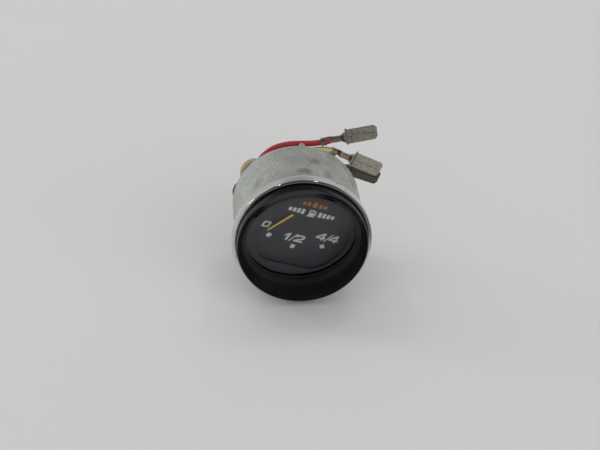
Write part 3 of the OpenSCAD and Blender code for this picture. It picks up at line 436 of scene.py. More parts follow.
def loft(rings, wrap=True):
    """Faces between rings of points; wrap joins the last ring to the first, or both are capped."""
    n, m = len(rings[0]), len(rings)
    faces = []
    for i in range(m if wrap else m - 1):
        a, b = i * n, (i + 1) % m * n
        for k in range(n):
            j = (k + 1) % n
            faces.append((a + k, a + j, b + j, b + k))
    if not wrap:
        faces += [tuple(reversed(range(n))), tuple(range((m - 1) * n, m * n))]
    return [p for ring in rings for p in ring], faces


def add(parts):
    """Joins lists of points and faces into one."""
    points, faces = [], []
    for p, f in parts:
        faces += [tuple(i + len(points) for i in face) for face in f]
        points += list(p)
    return points, faces


def angles(n):
    return [math.tau * k / n for k in range(n)]


def circle(r, y, n, place=None):
    ring = [Vector((r * math.cos(a), y, r * math.sin(a))) for a in angles(n)]
    return [place @ p for p in ring] if place else ring


def turned(profile, n, x=0.0, z=0.0, shift=None):
    """A body of revolution about Y from (radius, y) points; shift changes a point's radius."""
    rings = []
    for r, y in profile:
        ring = []
        for a in angles(n):
            out = r + (shift(a, y, r) if shift else 0)
            ring.append(Vector((x + out * math.cos(a), y, z + out * math.sin(a))))
        rings.append(ring)
    return loft(rings)


def bend(centre, r, a0, a1, n):
    """Points of an arc in the profile plane, angles in degrees from the radius towards +Y."""
    out = []
    for i in range(n + 1):
        a = math.radians(a0 + (a1 - a0) * i / n)
        out.append((centre[0] + r * math.cos(a), centre[1] + r * math.sin(a)))
    return out


def wander(a, y, size, seed, scale):
    """A smooth wavy offset round the axis."""
    at = Vector((scale * math.cos(a), scale * math.sin(a), y * 0.12 + seed))
    return size * noise.noise(at)


def slab(outline, y0, y1, edge=0.08):
    """A flat sheet with (x, z) outline between two depths, with eased edges."""
    cx = sum(p[0] for p in outline) / len(outline)
    cz = sum(p[1] for p in outline) / len(outline)

    def ring(y, inset):
        out = []
        for x, z in outline:
            d = Vector((cx - x, cz - z))
            d = d.normalized() * min(inset, d.length)
            out.append(Vector((x + d.x, y, z + d.y)))
        return out
    return loft([ring(y0, edge), ring(y0 + edge, 0), ring(y1 - edge, 0), ring(y1, edge)],
                wrap=False)


def both_sides(half):
    """An (x, z) outline that is the same on both sides of its middle line."""
    return [(x, -z) for x, z in half] + [(x, z) for x, z in reversed(half)]


# Leads: where each terminal starts, its tilt in degrees, and how far the insulation reaches in
ENDS = {
    "red": ((1.7, 34.5, 25.3), 31, 3.85),
    "yellow": ((7.1, 34.5, 23.1), -5, 2.3),
    "black": ((8.9, 37.5, 16.3), -1, 3.85),
}
# The CAD's own route points, from the grommet up to the terminal
ROUTES = {
    "red": [(-15, 29.2, -5), (-15.1, 31.4, -4.9), (-15.7, 33.4, -4.1), (-16.8, 34.9, -1.9),
            (-17.9, 35.7, 1.3), (-18.5, 36, 5.2), (-18.3, 36, 9.4), (-17.3, 36, 12.2),
            (-15.6, 35.9, 15.1), (-13, 35.7, 17.7), (-10, 35.5, 19.7), (-6.8, 35.3, 21.2),
            (-3.6, 35.1, 22.5), (-1, 34.8, 23.7)],
    "yellow": [(-15, 29.2, -8), (-15.6, 31.1, -7.7), (-17, 32.4, -6.9), (-18.9, 33, -5.3),
               (-21, 33.2, -2.7), (-22.8, 33.4, 0.3), (-23.8, 33.5, 3.2), (-23.6, 33.5, 6.1),
               (-22, 33.4, 8.3), (-19.2, 33.2, 9.3), (-16.1, 33, 10.4), (-13.2, 32.7, 12.5),
               (-10.2, 32.4, 15), (-7.2, 32.2, 17.4), (-4.2, 32.2, 19.6), (-1.4, 32.6, 21.2),
               (1.1, 33.2, 22.2), (3.9, 34, 22.8)],
    "black": [(-15, 29.2, -11), (-15.3, 31.3, -11.1), (-16.6, 33.1, -11.2), (-18.6, 34, -11),
              (-20.7, 34.1, -10.4), (-22.4, 33.7, -9.1), (-23.4, 33.6, -7.2),
              (-23.3, 34.3, -5.3), (-21.9, 35.7, -4.3), (-19.7, 37.1, -4), (-17, 38, -3.8),
              (-14, 38.4, -3.5), (-11, 38.6, -2.8), (-8, 38.6, -1.6), (-5.2, 38.6, 0.4),
              (-2.8, 38.5, 3.2), (-0.8, 38.4, 6.5), (1.2, 38.2, 9.9), (3.4, 38, 12.9),
              (6, 37.7, 15.3)],
}
LEAD_SIDES, LINE_STEPS = 20, 5
TRACER_TWIST, TWIST_END, TWIST_SPAN = -2.2, 0.85, 0.4


def whole_route(color):
    """A lead's route with its stretch inside the terminal."""
    (x, y, z), tilt, reach = ENDS[color]
    a = math.radians(tilt)
    inside = (x + reach * math.cos(a), y, z + reach * math.sin(a))
    return ROUTES[color] + [(x, y, z), inside]


def smooth_line(route):
    """Catmull-Rom points through a route."""
    p = [Vector(q) for q in route]
    p = [2 * p[0] - p[1]] + p + [2 * p[-1] - p[-2]]
    line = []
    for a, b, c, d in zip(p, p[1:], p[2:], p[3:]):
        for k in range(LINE_STEPS):
            t = k / LINE_STEPS
            line.append(0.5 * ((2 * b) + (c - a) * t + (2 * a - 5 * b + 4 * c - d) * t ** 2
                               + (3 * b - a - 3 * c + d) * t ** 3))
    return line + [p[-2]]


def tube_rings(line, r, n, side=Vector((0.3, 0.1, 1)), twist=0.0):
    """Rings along a line; each keeps the sideways direction of the one before it.

    A twist turns the rings before the last stretch, in radians.
    """
    rings = []
    for i, p in enumerate(line):
        t = (line[min(i + 1, len(line) - 1)] - line[max(i - 1, 0)]).normalized()
        side = (side - side.dot(t) * t).normalized()
        across = t.cross(side)
        turn = twist * min(1.0, max(0.0, (TWIST_END - i / len(line)) / TWIST_SPAN))
        rings.append([p + r * (math.cos(a + turn) * side + math.sin(a + turn) * across)
                      for a in angles(n)])
    return rings


def lead(name, route, slot, node, twist):
    """A lead's tube with a value that runs round it for the stripe, and its line in metres."""
    line = smooth_line(route)
    points, faces = loft(tube_rings(line, LEAD_D / 2, LEAD_SIDES, twist=twist), wrap=False)
    obj = piece(name, points, faces, slot, replaces=[node], sharp=60)
    around = obj.data.attributes.new("around", "FLOAT", "POINT")
    for i, item in enumerate(around.data):
        item.value = (i % LEAD_SIDES) / LEAD_SIDES
    return obj, [p * MM for p in line]


# Blade terminals: X runs from the start of the insulation crimp, Z across and Y through the sheet
CRIMPS = ((0, 0.95), (1.2, 2.2))
STEP_X, BARREL_AT, BARREL_END, STRAND_END = 4.9, 3.9, 7.9, 9.5
NECK_HALF, SHOULDER_HALF = 1.1, 2.4
NECK = [(BARREL_AT, NECK_HALF), (8, NECK_HALF), (10.2, SHOULDER_HALF), (11.2, SHOULDER_HALF)]
NECK_RIM = [(8.1, 1.15), (10.3, 2.45), (10.3, 2.15), (8.1, 0.85)]
EAR = [(10.2, 2.2), (11, 2.2), (11, 3.7), (10.7, 3.85), (10.2, 3.5)]
TAB = [(12.6, 0.8), (18.2, 0.95)]
BLADE_AT, BLADE_END, BLADE_HALF, BLADE_CHAMFER, BLADE_SEAM = 10.8, 23.4, 3.15, 1.2, 0.07
STRAND_COUNT, STRAND_RING_R, STRAND_SPREAD, STRAND_LAY = 8, 0.46, 0.65, 0.12


def terminal_place(at, tilt):
    return Matrix.Translation(at) @ Matrix.Rotation(math.radians(-tilt), 4, "Y")


def band(profile, x0, x1, flare, n=6):
    """A curled strip: profile points (y, z) swept along X, with slightly flared ends."""
    rings = []
    for i in range(n + 1):
        s = i / n
        grow = 1 + flare * (abs(2 * s - 1) ** 3)
        rings.append([Vector((x0 + (x1 - x0) * s, grow * y, grow * z)) for y, z in profile])
    return loft(rings, wrap=False)


def c_profile(r, t, gap, n=22):
    """Cross-section of a wrapped sheet with a gap, in degrees, towards -Y."""
    turns = [math.radians(gap / 2 - 180 + (360 - gap) * i / n) for i in range(n + 1)]
    outer = [((r + t) * math.sin(a), (r + t) * math.cos(a)) for a in turns]
    return outer + [(r * math.sin(a), r * math.cos(a)) for a in reversed(turns)]


def blade_half(short):
    """Half of a blade's outline; the folded layer stops short and leaves a seam."""
    seam, end = BLADE_SEAM if short else 0.0, BLADE_END - short
    return [(BLADE_AT, seam), (end - 0.25, seam), (end, 0.5), (end - 0.1, 1.2),
            (end, BLADE_HALF - BLADE_CHAMFER), (BLADE_END - BLADE_CHAMFER * 0.6, BLADE_HALF - 0.45),
            (BLADE_END - BLADE_CHAMFER, BLADE_HALF), (BLADE_AT, BLADE_HALF)]


def terminal(name, at, tilt, node, seed, tab):
    """The crimps, neck, ears and folded blade of one terminal, with or without a raised tab."""
    back, top = LEAD_D / 2 + 0.05, STRAND_R + STRIP_T
    parts = [band(c_profile(back, STRIP_T, 34), x0, x1, 0.05) for x0, x1 in CRIMPS]
    parts.append(slab(both_sides([(0, NECK_HALF), (STEP_X, NECK_HALF)]), back, back + STRIP_T))
    parts.append(slab(both_sides([(BARREL_AT, NECK_HALF), (STEP_X, NECK_HALF)]), STRAND_R,
                      back + STRIP_T))
    parts.append(band(c_profile(STRAND_R + 0.03, STRIP_T * 0.9, 26), 4.0, BARREL_END, 0.06))
    parts.append(slab(both_sides(NECK), STRAND_R, top))
    sheets = [(NECK_RIM, 0.05, STRAND_R + 0.1, 0.04), (EAR, STRAND_R, top, 0.05),
              (blade_half(0.25), STRAND_R - 0.4, STRAND_R - 0.02, 0.06),
              (blade_half(0), STRAND_R, top, 0.06)]
    for half, y0, y1, edge in sheets:
        for s in (-1, 1):
            parts.append(slab([(x, s * z) for x, z in half], y0, y1, edge))
    if tab:
        parts.append(slab(both_sides(TAB), STRAND_R - 0.55, STRAND_R - 0.36, 0.06))
    points, faces = add(parts)
    points = [p + Vector((0, 1, 0)) * 0.05 * noise.noise(p * 0.25 + Vector((seed, 0, 0)))
              for p in points]
    return piece(name, points, faces, "tinned", terminal_place(at, tilt), replaces=[node],
                 sharp=40, mat=TINNED[node])


def strands(name):
    """Twisted copper strands from each lead's end to past its second crimp, where they spread."""
    parts = []
    for at, tilt, start in ENDS.values():
        place = terminal_place(at, tilt)
        for k in range(STRAND_COUNT + 1):
            r = STRAND_RING_R if k else 0.0
            line = []
            for i in range(13):
                x = start + (STRAND_END - start) * i / 12
                a = math.tau * (k / STRAND_COUNT + STRAND_LAY * i / 12)
                loose = 1 + STRAND_SPREAD * max(0.0, x - BARREL_END)
                line.append(place @ Vector((x, r * math.sin(a), r * loose * math.cos(a))))
            parts.append(loft(tube_rings(line, 0.2, 8, Vector((0.2, 1, 0.1))), wrap=False))
    points, faces = add(parts)
    return piece(name, points, faces, "copper", replaces=["bare_strands"], sharp=60)


def grommet():
    """The oblong rubber grommet in the back plate, with a waist between its two flanges."""
    wide, waist, straight = 6.4, 4.5, 6.0

    def oblong(w, y):
        ring = []
        for a in angles(48):
            z = w / 2 * math.sin(a) + (straight if math.sin(a) >= 0 else -straight) / 2
            ring.append(Vector((GROMMET_X + w / 2 * math.cos(a), y, GROMMET_Z + z)))
        return ring
    rings = [oblong(w, y) for w, y in (
        (wide - 1.2, 24.7), (wide - 0.3, 24.9), (wide, 25.3), (wide, 26.1), (waist, 26.2),
        (waist, 27.2), (wide, 27.25), (wide, 28.4), (wide - 0.35, 28.95),
        (wide - 1.2, GROMMET_OUT_Y))]
    return piece("grommet_rubber", *loft(rings, wrap=False), "black_rubber",
                 replaces=["grommet"])


GROMMET = grommet()
COPPER = strands("strands")
for seed, (color, (end, tilt, _)) in enumerate(ENDS.items(), 1):
    tip = terminal(f"{color}_blade", end, tilt, f"{color}_terminal", seed, color == "red")
    wire, line = lead(f"{color}_wire", whole_route(color), f"{color}_insulation",
                      f"{color}_lead", TRACER_TWIST if color == "yellow" else 0.0)


# Floor: the plane that the gauge lies on, seen only from above; sizes here are in metres
FLOOR_HALF = 4.0
FLOOR_UP = Vector((-0.379, -0.061, 0.923)).normalized()
FLOOR_AT = -27.54 * MM
AWAY = Vector((0.2639, 0.8467, -0.4621))
AWAY = (AWAY - AWAY.dot(FLOOR_UP) * FLOOR_UP).normalized()
ACROSS = AWAY.cross(FLOOR_UP)


def on_ground(x, y, z):
    """A point from metres across, away and up from the floor below the origin."""
    return ACROSS * x + AWAY * y + FLOOR_UP * (z + FLOOR_AT)


def floor():
    mesh = bpy.data.meshes.new("floor")
    corners = [on_ground(x * FLOOR_HALF, y * FLOOR_HALF, 0)
               for x, y in ((-1, -1), (1, -1), (1, 1), (-1, 1))]
    mesh.from_pydata(corners, [], [(0, 1, 2, 3)])
    obj = bpy.data.objects.new("floor", mesh)
    bpy.context.scene.collection.objects.link(obj)
    f = Finish("floor", (0.78, 0.78, 0.78), 0.8, 0.0, Specular_IOR_Level=0.1)
    f.color(f.mix(f.noise(0.01, 2), (0.77, 0.77, 0.77), (0.79, 0.79, 0.79)))
    below = f.new("ShaderNodeNewGeometry").outputs["Backfacing"]
    f.mix_shader(below, f.new("ShaderNodeBsdfTransparent").outputs[0])
    mesh.materials.append(f.mat)


floor()

# Lights: place, size, power, tint, and whether mirrors show it
WHITE, WARM = (1, 1, 1), (1, 0.97, 0.94)
LIGHTS = {
    "key": ((-0.2, 0.6, 2.4), (2.0, 2.0), 6.0, WHITE, False),
    "fill": ((1.9, -1.9, 1.7), (3.2, 1.6), 17.0, WHITE, False),
    "ceiling_right": ((0.46, 0.64, 1.27), (0.14, 0.14), 0.8, WARM, True),
    "ceiling_left": ((-0.66, 0.54, 1.23), (0.14, 0.14), 0.8, WARM, True),
    "window_left": ((-2.6, 1.02, 1.04), (0.5, 0.4), 5.5, WHITE, True),
    "sheet_left": ((-1.12, 0.57, 0.99), (0.25, 0.6), 0.9, WHITE, True),
}
LIGHT_TARGET = (0, 0, 0.02)


def area_light(name, at, size, power, tint, mirrored):
    data = bpy.data.lights.new(name, "AREA")
    data.shape = "RECTANGLE"
    data.size, data.size_y = size
    data.energy = power
    data.color = tint
    obj = bpy.data.objects.new(name, data)
    place = on_ground(*at)
    direction = on_ground(*LIGHT_TARGET) - place
    obj.rotation_euler = direction.to_track_quat("-Z", "Y").to_euler()
    obj.location = place
    obj.visible_glossy = mirrored
    bpy.context.scene.collection.objects.link(obj)


for name, values in LIGHTS.items():
    area_light(name, *values)

# World: its even light, the background, and what mirrors see up to a height and above it
EVEN, BACKDROP = (0.5, 0.5, 0.5), (0.57, 0.57, 0.57)
SHEET, ROOM, SHEET_TOP, ROOM_FROM = (0.6, 0.6, 0.6), (0.12, 0.1, 0.115), 0.34, 0.6


def world():
    """Even light for the surfaces. Mirrors see a pale sheet all round with a dim room above it."""
    scene = bpy.context.scene
    scene.world = bpy.data.worlds.new("studio")
    scene.world.use_nodes = True
    tree = scene.world.node_tree
    new, link = tree.nodes.new, tree.links.new

    def shade(color):
        made = new("ShaderNodeBackground")
        if isinstance(color, tuple):
            made.inputs["Color"].default_value = (*color, 1)
        else:
            link(color, made.inputs["Color"])
        return made.outputs[0]

    def pick(chooser, no, yes):
        made = new("ShaderNodeMixShader")
        for key, output in enumerate((chooser, no, yes)):
            link(output, made.inputs[key])
        return made.outputs[0]

    rise = new("ShaderNodeVectorMath")
    rise.operation = "DOT_PRODUCT"
    rise.inputs[1].default_value = FLOOR_UP
    link(new("ShaderNodeTexCoord").outputs["Generated"], rise.inputs[0])
    ramp = new("ShaderNodeMapRange")
    ramp.interpolation_type = "SMOOTHSTEP"
    ramp.inputs["From Min"].default_value = SHEET_TOP
    ramp.inputs["From Max"].default_value = ROOM_FROM
    link(rise.outputs["Value"], ramp.inputs["Value"])
    mirrored = new("ShaderNodeMix")
    mirrored.data_type = "RGBA"
    link(ramp.outputs["Result"], mirrored.inputs[0])
    mirrored.inputs[6].default_value = (*SHEET, 1)
    mirrored.inputs[7].default_value = (*ROOM, 1)
    path = new("ShaderNodeLightPath")
    mixed = pick(path.outputs["Is Glossy Ray"], shade(EVEN), shade(mirrored.outputs[2]))
    mixed = pick(path.outputs["Is Camera Ray"], mixed, shade(BACKDROP))
    link(mixed, tree.nodes["World Output"].inputs["Surface"])


world()
bpy.context.scene.view_settings.view_transform = "Standard"

# Case, bezel, hood and window. EASE is the rounding of a thin edge
EASE = 0.06
DENT_DEPTH, DENT_SEED, DENT_SCALE = 0.09, 4.0, 2.4
RIPPLE_DEPTH, RIPPLE_SEED, RIPPLE_SCALE, RIPPLE_FROM_R = 0.05, 9.0, 6, 27
LUG = [(1.35, 0), (1.3, 1.2), (1.15, 2.3), (0.8, 3.1), (0.35, 3.4)]


def case():
    """The drawn cup with its flange and back rim, and three lugs at the back edge."""
    edge = (CASE_R - CASE_EDGE_R, CASE_DEPTH - CASE_EDGE_R)
    bore_r, rim_r = CASE_R - CASE_WALL, CASE_R - BACK_RIM
    profile = [(bore_r, FLANGE_FRONT_Y), (FLANGE_R, FLANGE_FRONT_Y), (FLANGE_R, FLANGE_BACK_Y),
               (NECK_R, FLANGE_BACK_Y), (NECK_R, 0), (CASE_R - EASE, 0), (CASE_R, EASE)]
    profile += [(CASE_R, y) for y in (2, 4, 7, 10, 13, 16, 19, 22, 24.5)]
    profile += bend(edge, CASE_EDGE_R, 0, 90, 8)
    profile += [(rim_r + 0.1, CASE_DEPTH), (rim_r, CASE_DEPTH - 0.1), (rim_r, BACK_OUT_Y)]
    profile += bend(edge, CASE_EDGE_R - CASE_WALL, 90, 0, 6) + [(bore_r, 20), (bore_r, 10)]

    def dent(a, y, r):
        outside = 1 < y < CASE_DEPTH - 1 and r > CASE_R - CASE_EDGE_R
        return min(0.0, wander(a, y, DENT_DEPTH, DENT_SEED, DENT_SCALE)) if outside else 0
    parts = [turned(profile, 192, shift=dent)]
    outline = LUG + [(-w, h) for w, h in reversed(LUG)]
    lug_points, lug_faces = slab(outline, 0, LUG_T, 0.12)
    for k in range(3):
        place = Matrix.Rotation(-math.radians(LUG_ANGLE + 120 * k), 4, "Y")
        parts.append(([place @ Vector((LUG_R + p.y, LUG_Y + p.z, p.x)) for p in lug_points],
                      lug_faces))
    points, faces = add(parts)
    piece("case", points, faces, "zinc", replaces=["case_shell"])


def bezel():
    """The rolled ring: its lip over the hood, the rounded corner and the heel behind the flange."""
    corner = (BEZEL_R - BEZEL_ROUND, -BEZEL_LEN + BEZEL_ROUND)
    heel = (BEZEL_R - BEZEL_T, -BEZEL_T)
    lip, bore = HOOD_BASE_R + 0.1, BEZEL_R - BEZEL_HEEL
    profile = [(lip, -BEZEL_LEN + 0.2), (lip + 0.05, -BEZEL_LEN + EASE), (lip + 0.2, -BEZEL_LEN)]
    profile += bend(corner, BEZEL_ROUND, -85, 0, 10)
    profile += [(BEZEL_R, y) for y in (-3.2, -2.2, -1.2)] + bend(heel, BEZEL_T, 0, 90, 5)
    profile += [(bore + EASE, 0), (bore, -EASE), (bore, -BEZEL_T), heel]
    profile += bend(corner, BEZEL_ROUND - BEZEL_T, 0, -90, 6) + [(lip, -BEZEL_LEN + BEZEL_T)]

    def ripple(a, y, r):
        wave = min(0.0, wander(a, y, RIPPLE_DEPTH, RIPPLE_SEED, RIPPLE_SCALE))
        return wave if r > RIPPLE_FROM_R else 0
    piece("bezel", *turned(profile, 240, shift=ripple), "bezel_chrome", replaces=["bezel_ring"])


def hood_r(share):
    """Radius of the hood's inner wall at a share of the way from its crest to the lip."""
    return (CREST_R - CREST_W) * (1 - share) + (WINDOW_R + LIP_W) * share


def hood():
    """The hood: crest, smooth cone, steps down to the lip, window seat, skirt and shoulder."""
    n, ease = 200, 0.1
    rings = [circle(CREST_R - 0.2, CREST_Y, n), circle(CREST_R - CREST_W + ease, CREST_Y, n),
             circle(CREST_R - CREST_W, CREST_Y + ease, n)]

    def wall(share, r, dy=0.0):
        y = CREST_Y + (LIP_Y - CREST_Y) * share
        return circle(r, dy, n, tilted(share, y))
    for i in range(1, 9):
        rings.append(wall(CONE_SHARE * i / 8, hood_r(CONE_SHARE * i / 8)))
    step = (1 - CONE_SHARE) / HOOD_STEPS
    for i in range(HOOD_STEPS):
        share = CONE_SHARE + step * i
        r = hood_r(share + step / 2)
        rings += [wall(share, r + ease), wall(share, r, ease), wall(share + step, r, -0.02)]
    dial_back_y = DIAL_Y + DIAL_T
    rings += [circle(r, y, n, SLANTED) for r, y in (
        (WINDOW_R + 0.05, 0), (WINDOW_R, 0.05), (WINDOW_R, LIP_T), (GLASS_R + SEAT_GAP, LIP_T),
        (GLASS_R + SEAT_GAP, dial_back_y))]
    skirt_r = CASE_R - CASE_WALL - SEAT_GAP
    flat = SLANTED.to_3x3() @ Vector((0, 1, 0))
    level = flat.dot(SLANTED @ Vector((0, dial_back_y, 0)))
    skirt = circle(skirt_r, 0, n)
    for p in skirt:
        p.y = (level - flat.x * p.x - flat.z * p.z) / flat.y
    rings += [skirt] + [circle(r, y, n) for r, y in (
        (skirt_r, FLANGE_FRONT_Y), (FLANGE_R, FLANGE_FRONT_Y), (FLANGE_R, SHOULDER_Y + 0.3),
        (FLANGE_R - 0.2, SHOULDER_Y), (HOOD_BASE_R, SHOULDER_Y), (HOOD_BASE_R, -BEZEL_LEN),
        (HOOD_BASE_R - 0.03, -6.0), (CREST_R, CREST_Y + 0.2), (CREST_R - EASE, CREST_Y + EASE))]
    piece("hood_ring", *loft(rings), "hood_black", replaces=["hood"], sharp=50)


def window():
    ease = 0.15
    rings = [circle(r, y, 128) for r, y in (
        (GLASS_R - ease, GLASS_Y), (GLASS_R, GLASS_Y + ease), (GLASS_R, SPACER_Y - ease),
        (GLASS_R - ease, SPACER_Y))]
    piece("window", *loft(rings, wrap=False), "window_glass", SLANTED, replaces=["glass"])


case()
bezel()
hood()
window()

# Printing: the outlines of each character at a height of 1, and its corner radius
GLYPHS = {
    "0": ([[(0, 0), (1.02, 0), (1.02, 1), (0, 1)],
           [(0.25, 0.21), (0.77, 0.21), (0.77, 0.79), (0.25, 0.79)]], 0.2),
    "1": ([[(0.3, 0), (0.56, 0), (0.56, 1), (0.36, 1), (0, 0.7), (0, 0.5), (0.3, 0.68)]], 0.04),
    "2": ([[(0, 0), (1.05, 0), (1.05, 0.21), (0.5, 0.21), (0.86, 0.38), (1.02, 0.52),
            (1.02, 0.84), (0.86, 1), (0.14, 1), (0, 0.86), (0, 0.64), (0.25, 0.64),
            (0.25, 0.79), (0.77, 0.79), (0.77, 0.6), (0, 0.24)]], 0.06),
    "4": ([[(0.64, 0), (0.89, 0), (0.89, 0.2), (1.08, 0.2), (1.08, 0.4), (0.89, 0.4), (0.89, 1),
            (0.56, 1), (0, 0.42), (0, 0.2), (0.64, 0.2)],
           [(0.64, 0.4), (0.64, 0.78), (0.29, 0.4)]], 0.05),
    "/": ([[(0, -0.04), (0.13, -0.04), (0.55, 1.04), (0.42, 1.04)]], 0.02),
}
LEAN = 0.16
# Each character's lower left corner, height and width
CHARACTERS = [
    ("0", -16.2, -1.9, 3.2, 0.95), ("1", -5.5, -6.1, 3.9, 1.0), ("/", -2.8, -6.2, 4.1, 1.0),
    ("2", -0.8, -6.1, 3.9, 0.95), ("4", 7.2, -2.45, 3.9, 0.95), ("/", 11.1, -2.55, 4.1, 1.0),
    ("4", 12.7, -2.45, 3.9, 0.95),
]
MARK_CENTRE, MARK_ARC_R, MARK_ANGLE, MARK_W, MARK_H = (0.3, 13.8), 22.5, 31, 1.8, 2.0


def rounded(points, r):
    """An outline with its corners cut to short curves."""
    out = []
    n = len(points)
    for i in range(n):
        a, b, c = (Vector(points[(i + k) % n]) for k in (-1, 0, 1))
        u, v = (a - b), (c - b)
        cut = min(r, u.length * 0.45, v.length * 0.45)
        p, q = b + u.normalized() * cut, b + v.normalized() * cut
        for k in range(5):
            t = k / 4
            out.append((1 - t) ** 2 * p + 2 * t * (1 - t) * b + t ** 2 * q)
    return out


def printed(name, shapes, height, mat=None, replaces=()):
    """Outlines of (x, z) points, filled and raised a little; the ones inside others are holes."""
    curve = bpy.data.curves.new(name, "CURVE")
    curve.dimensions = "2D"
    curve.fill_mode = "BOTH"
    curve.extrude = PRINT_T / 2
    for shape in shapes:
        spline = curve.splines.new("POLY")
        spline.points.add(len(shape) - 1)
        spline.use_cyclic_u = True
        for point, (x, z) in zip(spline.points, shape):
            point.co = (x, z, 0, 1)
    holder = bpy.data.objects.new(name + "_line", curve)
    bpy.context.scene.collection.objects.link(holder)
    bpy.context.view_layer.update()
    filled = holder.evaluated_get(bpy.context.evaluated_depsgraph_get())
    mesh = bpy.data.meshes.new_from_object(filled)
    bpy.data.objects.remove(holder)
    points = [Vector((v.co.x, height - PRINT_T / 2 - v.co.z, v.co.y)) for v in mesh.vertices]
    faces = [tuple(p.vertices) for p in mesh.polygons]
    bpy.data.meshes.remove(mesh)
    return piece(name, points, faces, "white_print", SLANTED, replaces=replaces, mat=mat)


def glyph(key, x, z, h, wide):
    outlines, r = GLYPHS[key]
    return [[(x + h * (wide * p.x + LEAN * p.y), z + h * p.y) for p in rounded(outline, r)]
            for outline in outlines]


def turned_square(angle):
    """A mark on the arc of the three marks, at an angle from straight down."""
    co, si = math.cos(math.radians(angle)), math.sin(math.radians(angle))
    corners = [(x * MARK_W / 2, -MARK_ARC_R + y * MARK_H / 2)
               for x, y in ((-1, -1), (1, -1), (1, 1), (-1, 1))]
    return [(MARK_CENTRE[0] + co * x - si * y, MARK_CENTRE[1] + si * x + co * y)
            for x, y in corners]


def dial_marks():
    shapes = [turned_square(angle) for angle in (-MARK_ANGLE, 0, MARK_ANGLE)]
    for character in CHARACTERS:
        shapes += glyph(*character)
    printed("dial_marks", shapes, DIAL_Y, replaces=["dial_print"])


# Signs on the mask: a generic pump between two rows of bars, and an orange drop between bars
PUMP_X, PUMP_Z, DROP_X, DROP_Z, DROP_BARS_Z = -0.5, 10.2, -0.8, 15.9, 16.0
HOSE = [(1.05, 1.4), (1.55, 1.1), (1.55, 2.2), (1.15, 2.8), (1.35, 3.0), (1.9, 2.4), (1.9, 0.85),
        (1.05, 1.05)]
DROP = [(-0.8, 0.3), (-0.77, -0.35), (-0.4, -0.85), (0.4, -0.85), (0.77, -0.35), (0.8, 0.3),
        (0, 2.0)]


def bar(x, z, w, h, r=0.1):
    return rounded([(x - w / 2, z - h / 2), (x + w / 2, z - h / 2), (x + w / 2, z + h / 2),
                    (x - w / 2, z + h / 2)], r)


def mask_signs():
    shapes = [bar(PUMP_X, PUMP_Z + z, w, h)
              for z, w, h in ((1.6, 2.2, 3.2), (2.3, 1.3, 0.9), (-0.1, 3.0, 0.45))]
    for s in (-1, 1):
        for k in range(4):
            x = PUMP_X + s * (3.6 + 1.8 * k)
            shapes.append(bar(x, PUMP_Z + 1.6, 1.25, 2.6 - 0.3 * k, 0.15))
    shapes.append([(PUMP_X + x, PUMP_Z + z) for x, z in HOSE])
    printed("sign_white", shapes, MASK_Y, replaces=["mask_print"])
    drops = [rounded([(1.25 * x + DROP_X, DROP_Z + 1.2 * z) for x, z in DROP], 0.3)]
    for s in (-1, 1):
        for k in range(2):
            x = DROP_X + s * (2.5 + 1.9 * k)
            drops.append(bar(x, DROP_BARS_Z, 1.3, 1.9 - 0.4 * k, 0.15))
    printed("sign_orange", drops, MASK_Y, mat=ORANGE)


dial_marks()
mask_signs()

# The pointer's seen end: half widths at distances from the tip
NEEDLE = [(0.0, 0.12), (0.5, 0.36), (9, 0.5), (18, 0.6), (18.5, 0.45)]


def needle():
    """The pointer: a thin strip with a cut tip, cranked under the mask and carried to its hub."""
    back = POINTER_Y + POINTER_T
    tip = Vector((0, -POINTER_LEN))
    along = Vector((-math.sin(CRANK), math.cos(CRANK)))
    across = Vector((math.cos(CRANK), math.sin(CRANK)))
    knee = tip + NEEDLE_LEN * along

    def strip(outline):
        rings = [[Vector((x, y, z)) for x, z in outline(inset)]
                 for y, inset in ((POINTER_Y, 0.12), (POINTER_Y + EASE, 0), (back, 0))]
        return loft(rings, wrap=False)

    def blade(inset):
        right = [tip + s * along + max(w - inset, 0.05) * across for s, w in NEEDLE]
        left = [tip + s * along - max(w - inset, 0.05) * across for s, w in reversed(NEEDLE)]
        return right + left

    def arm(inset):
        side = Vector((-knee.y, knee.x)).normalized() * (POINTER_HALF - inset)
        return [knee + side, knee - side, -side, side]

    def tail(inset):
        w, end = POINTER_HALF - inset, TAIL_LEN - inset
        return [(-w, 0), (w, 0), (w, end), (-w, end)]

    place = SLANTED @ Matrix.Translation((0, 0, PIVOT_Z)) @ Matrix.Rotation(REST_ANGLE, 4, "Y")
    boss = turned([(BOSS_R - 0.05, POINTER_Y), (BOSS_R, POINTER_Y + 0.05), (BOSS_R, back),
                   (STAFF_HOLE_R, back), (STAFF_HOLE_R, POINTER_Y)], 40)
    points, faces = add([strip(blade), strip(arm), strip(tail), boss])
    piece("needle_strip", points, faces, "pointer_yellow", place, "needle", ["pointer"])


needle()

# Studs: the thread's start, end, pitch and depth, and the head and neck inside the case
THREAD_Y0, THREAD_Y1, THREAD_PITCH, THREAD_DEPTH, THREAD_EASE = 28.5, 37.5, 0.7, 0.28, 0.5
STUD_HEAD = [(0.01, 21.7), (STUD_HEAD_R - 0.2, 21.7), (STUD_HEAD_R, 21.9), (STUD_HEAD_R, 23.7),
             (STUD_NECK_R, 23.7), (STUD_NECK_R, THREAD_Y0), (0.01, THREAD_Y0)]


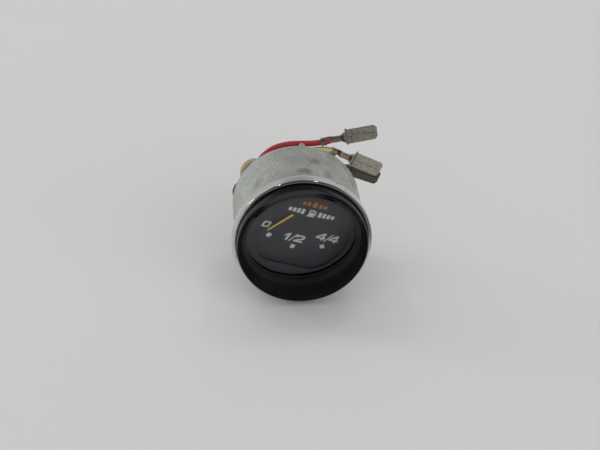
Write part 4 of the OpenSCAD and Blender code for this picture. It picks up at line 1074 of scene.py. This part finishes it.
def thread(x, z, n=24):
    """A stud's threaded end, with a helical ridge that fades out at the tip."""
    rings = []
    length = THREAD_Y1 - THREAD_Y0
    steps = int(length / THREAD_PITCH * 6)
    for i in range(steps + 1):
        y = THREAD_Y0 + length * i / steps
        ease = min(1.0, (THREAD_Y1 - y) / THREAD_EASE)
        ring = []
        for k, a in enumerate(angles(n)):
            t = (y / THREAD_PITCH - k / n) % 1
            r = STUD_R - THREAD_DEPTH * (1 - abs(2 * t - 1)) - (1 - ease) * 0.35
            ring.append(Vector((x + r * math.cos(a), y, z + r * math.sin(a))))
        rings.append(ring)
    return loft(rings, wrap=False)


def nut(x, z):
    """A hexagon nut with turned faces and an eased bore."""
    rings = []
    sixth = math.pi / 3
    for r, y in ((STUD_R + 0.15, NUT_Y), (3.3, NUT_Y), (9, NUT_Y + 0.35), (9, NUT_BACK_Y - 0.35),
                 (3.3, NUT_BACK_Y), (STUD_R + 0.15, NUT_BACK_Y), (STUD_R, NUT_BACK_Y - 0.3),
                 (STUD_R, NUT_Y + 0.3)):
        ring = []
        for a in angles(48):
            reach = min(r, NUT_AF / 2 / math.cos((a + sixth / 2) % sixth - sixth / 2))
            ring.append(Vector((x + reach * math.cos(a), y, z + reach * math.sin(a))))
        rings.append(ring)
    return loft(rings)


def studs_and_nuts():
    sides = (-STUD_X, STUD_X)
    bolts = []
    for x in sides:
        bolts += [thread(x, STUD_Z), turned(STUD_HEAD, 32, x=x, z=STUD_Z)]
    piece("stud_threads", *add(bolts), "brass", replaces=["studs"], sharp=30)
    piece("hex_nuts", *add([nut(x, STUD_Z) for x in sides]), "brass", replaces=["stud_nuts"],
          sharp=25)


# The lamp holder's shell round its axis, and its blade's outline
SHELL = [(3.05, BACK_OUT_Y), (LAMP_R - 0.5, BACK_OUT_Y - 0.5), (LAMP_R - 0.5, LAMP_FRONT_Y + 0.2),
         (LAMP_R - 0.1, LAMP_FRONT_Y), (LAMP_R, LAMP_FRONT_Y + 0.2), (LAMP_R, BACK_OUT_Y),
         (LAMP_FLANGE_R, BACK_OUT_Y), (LAMP_FLANGE_R, 27.85), (LAMP_FLANGE_R - 0.15, 28.0),
         (3.2, 28.0), (3.05, 27.85)]
LAMP_BLADE = [(-LAMP_BLADE_HALF, 29.5), (LAMP_BLADE_HALF, 29.5), (LAMP_BLADE_HALF, 37.3),
              (LAMP_BLADE_HALF - 1, 38.5), (-LAMP_BLADE_HALF + 1, 38.5), (-LAMP_BLADE_HALF, 37.3)]


def lamp():
    piece("lamp_body", *turned(SHELL, 64, z=LAMP_Z), "brass", body="lamp",
          replaces=["lamp_shell"])
    points, faces = slab(LAMP_BLADE, -0.4, 0.4)
    points = [Vector((p.x, p.z, LAMP_Z + p.y)) for p in points]
    piece("lamp_tab", points, faces, "brass", body="lamp", replaces=["lamp_blade"])


studs_and_nuts()
lamp()
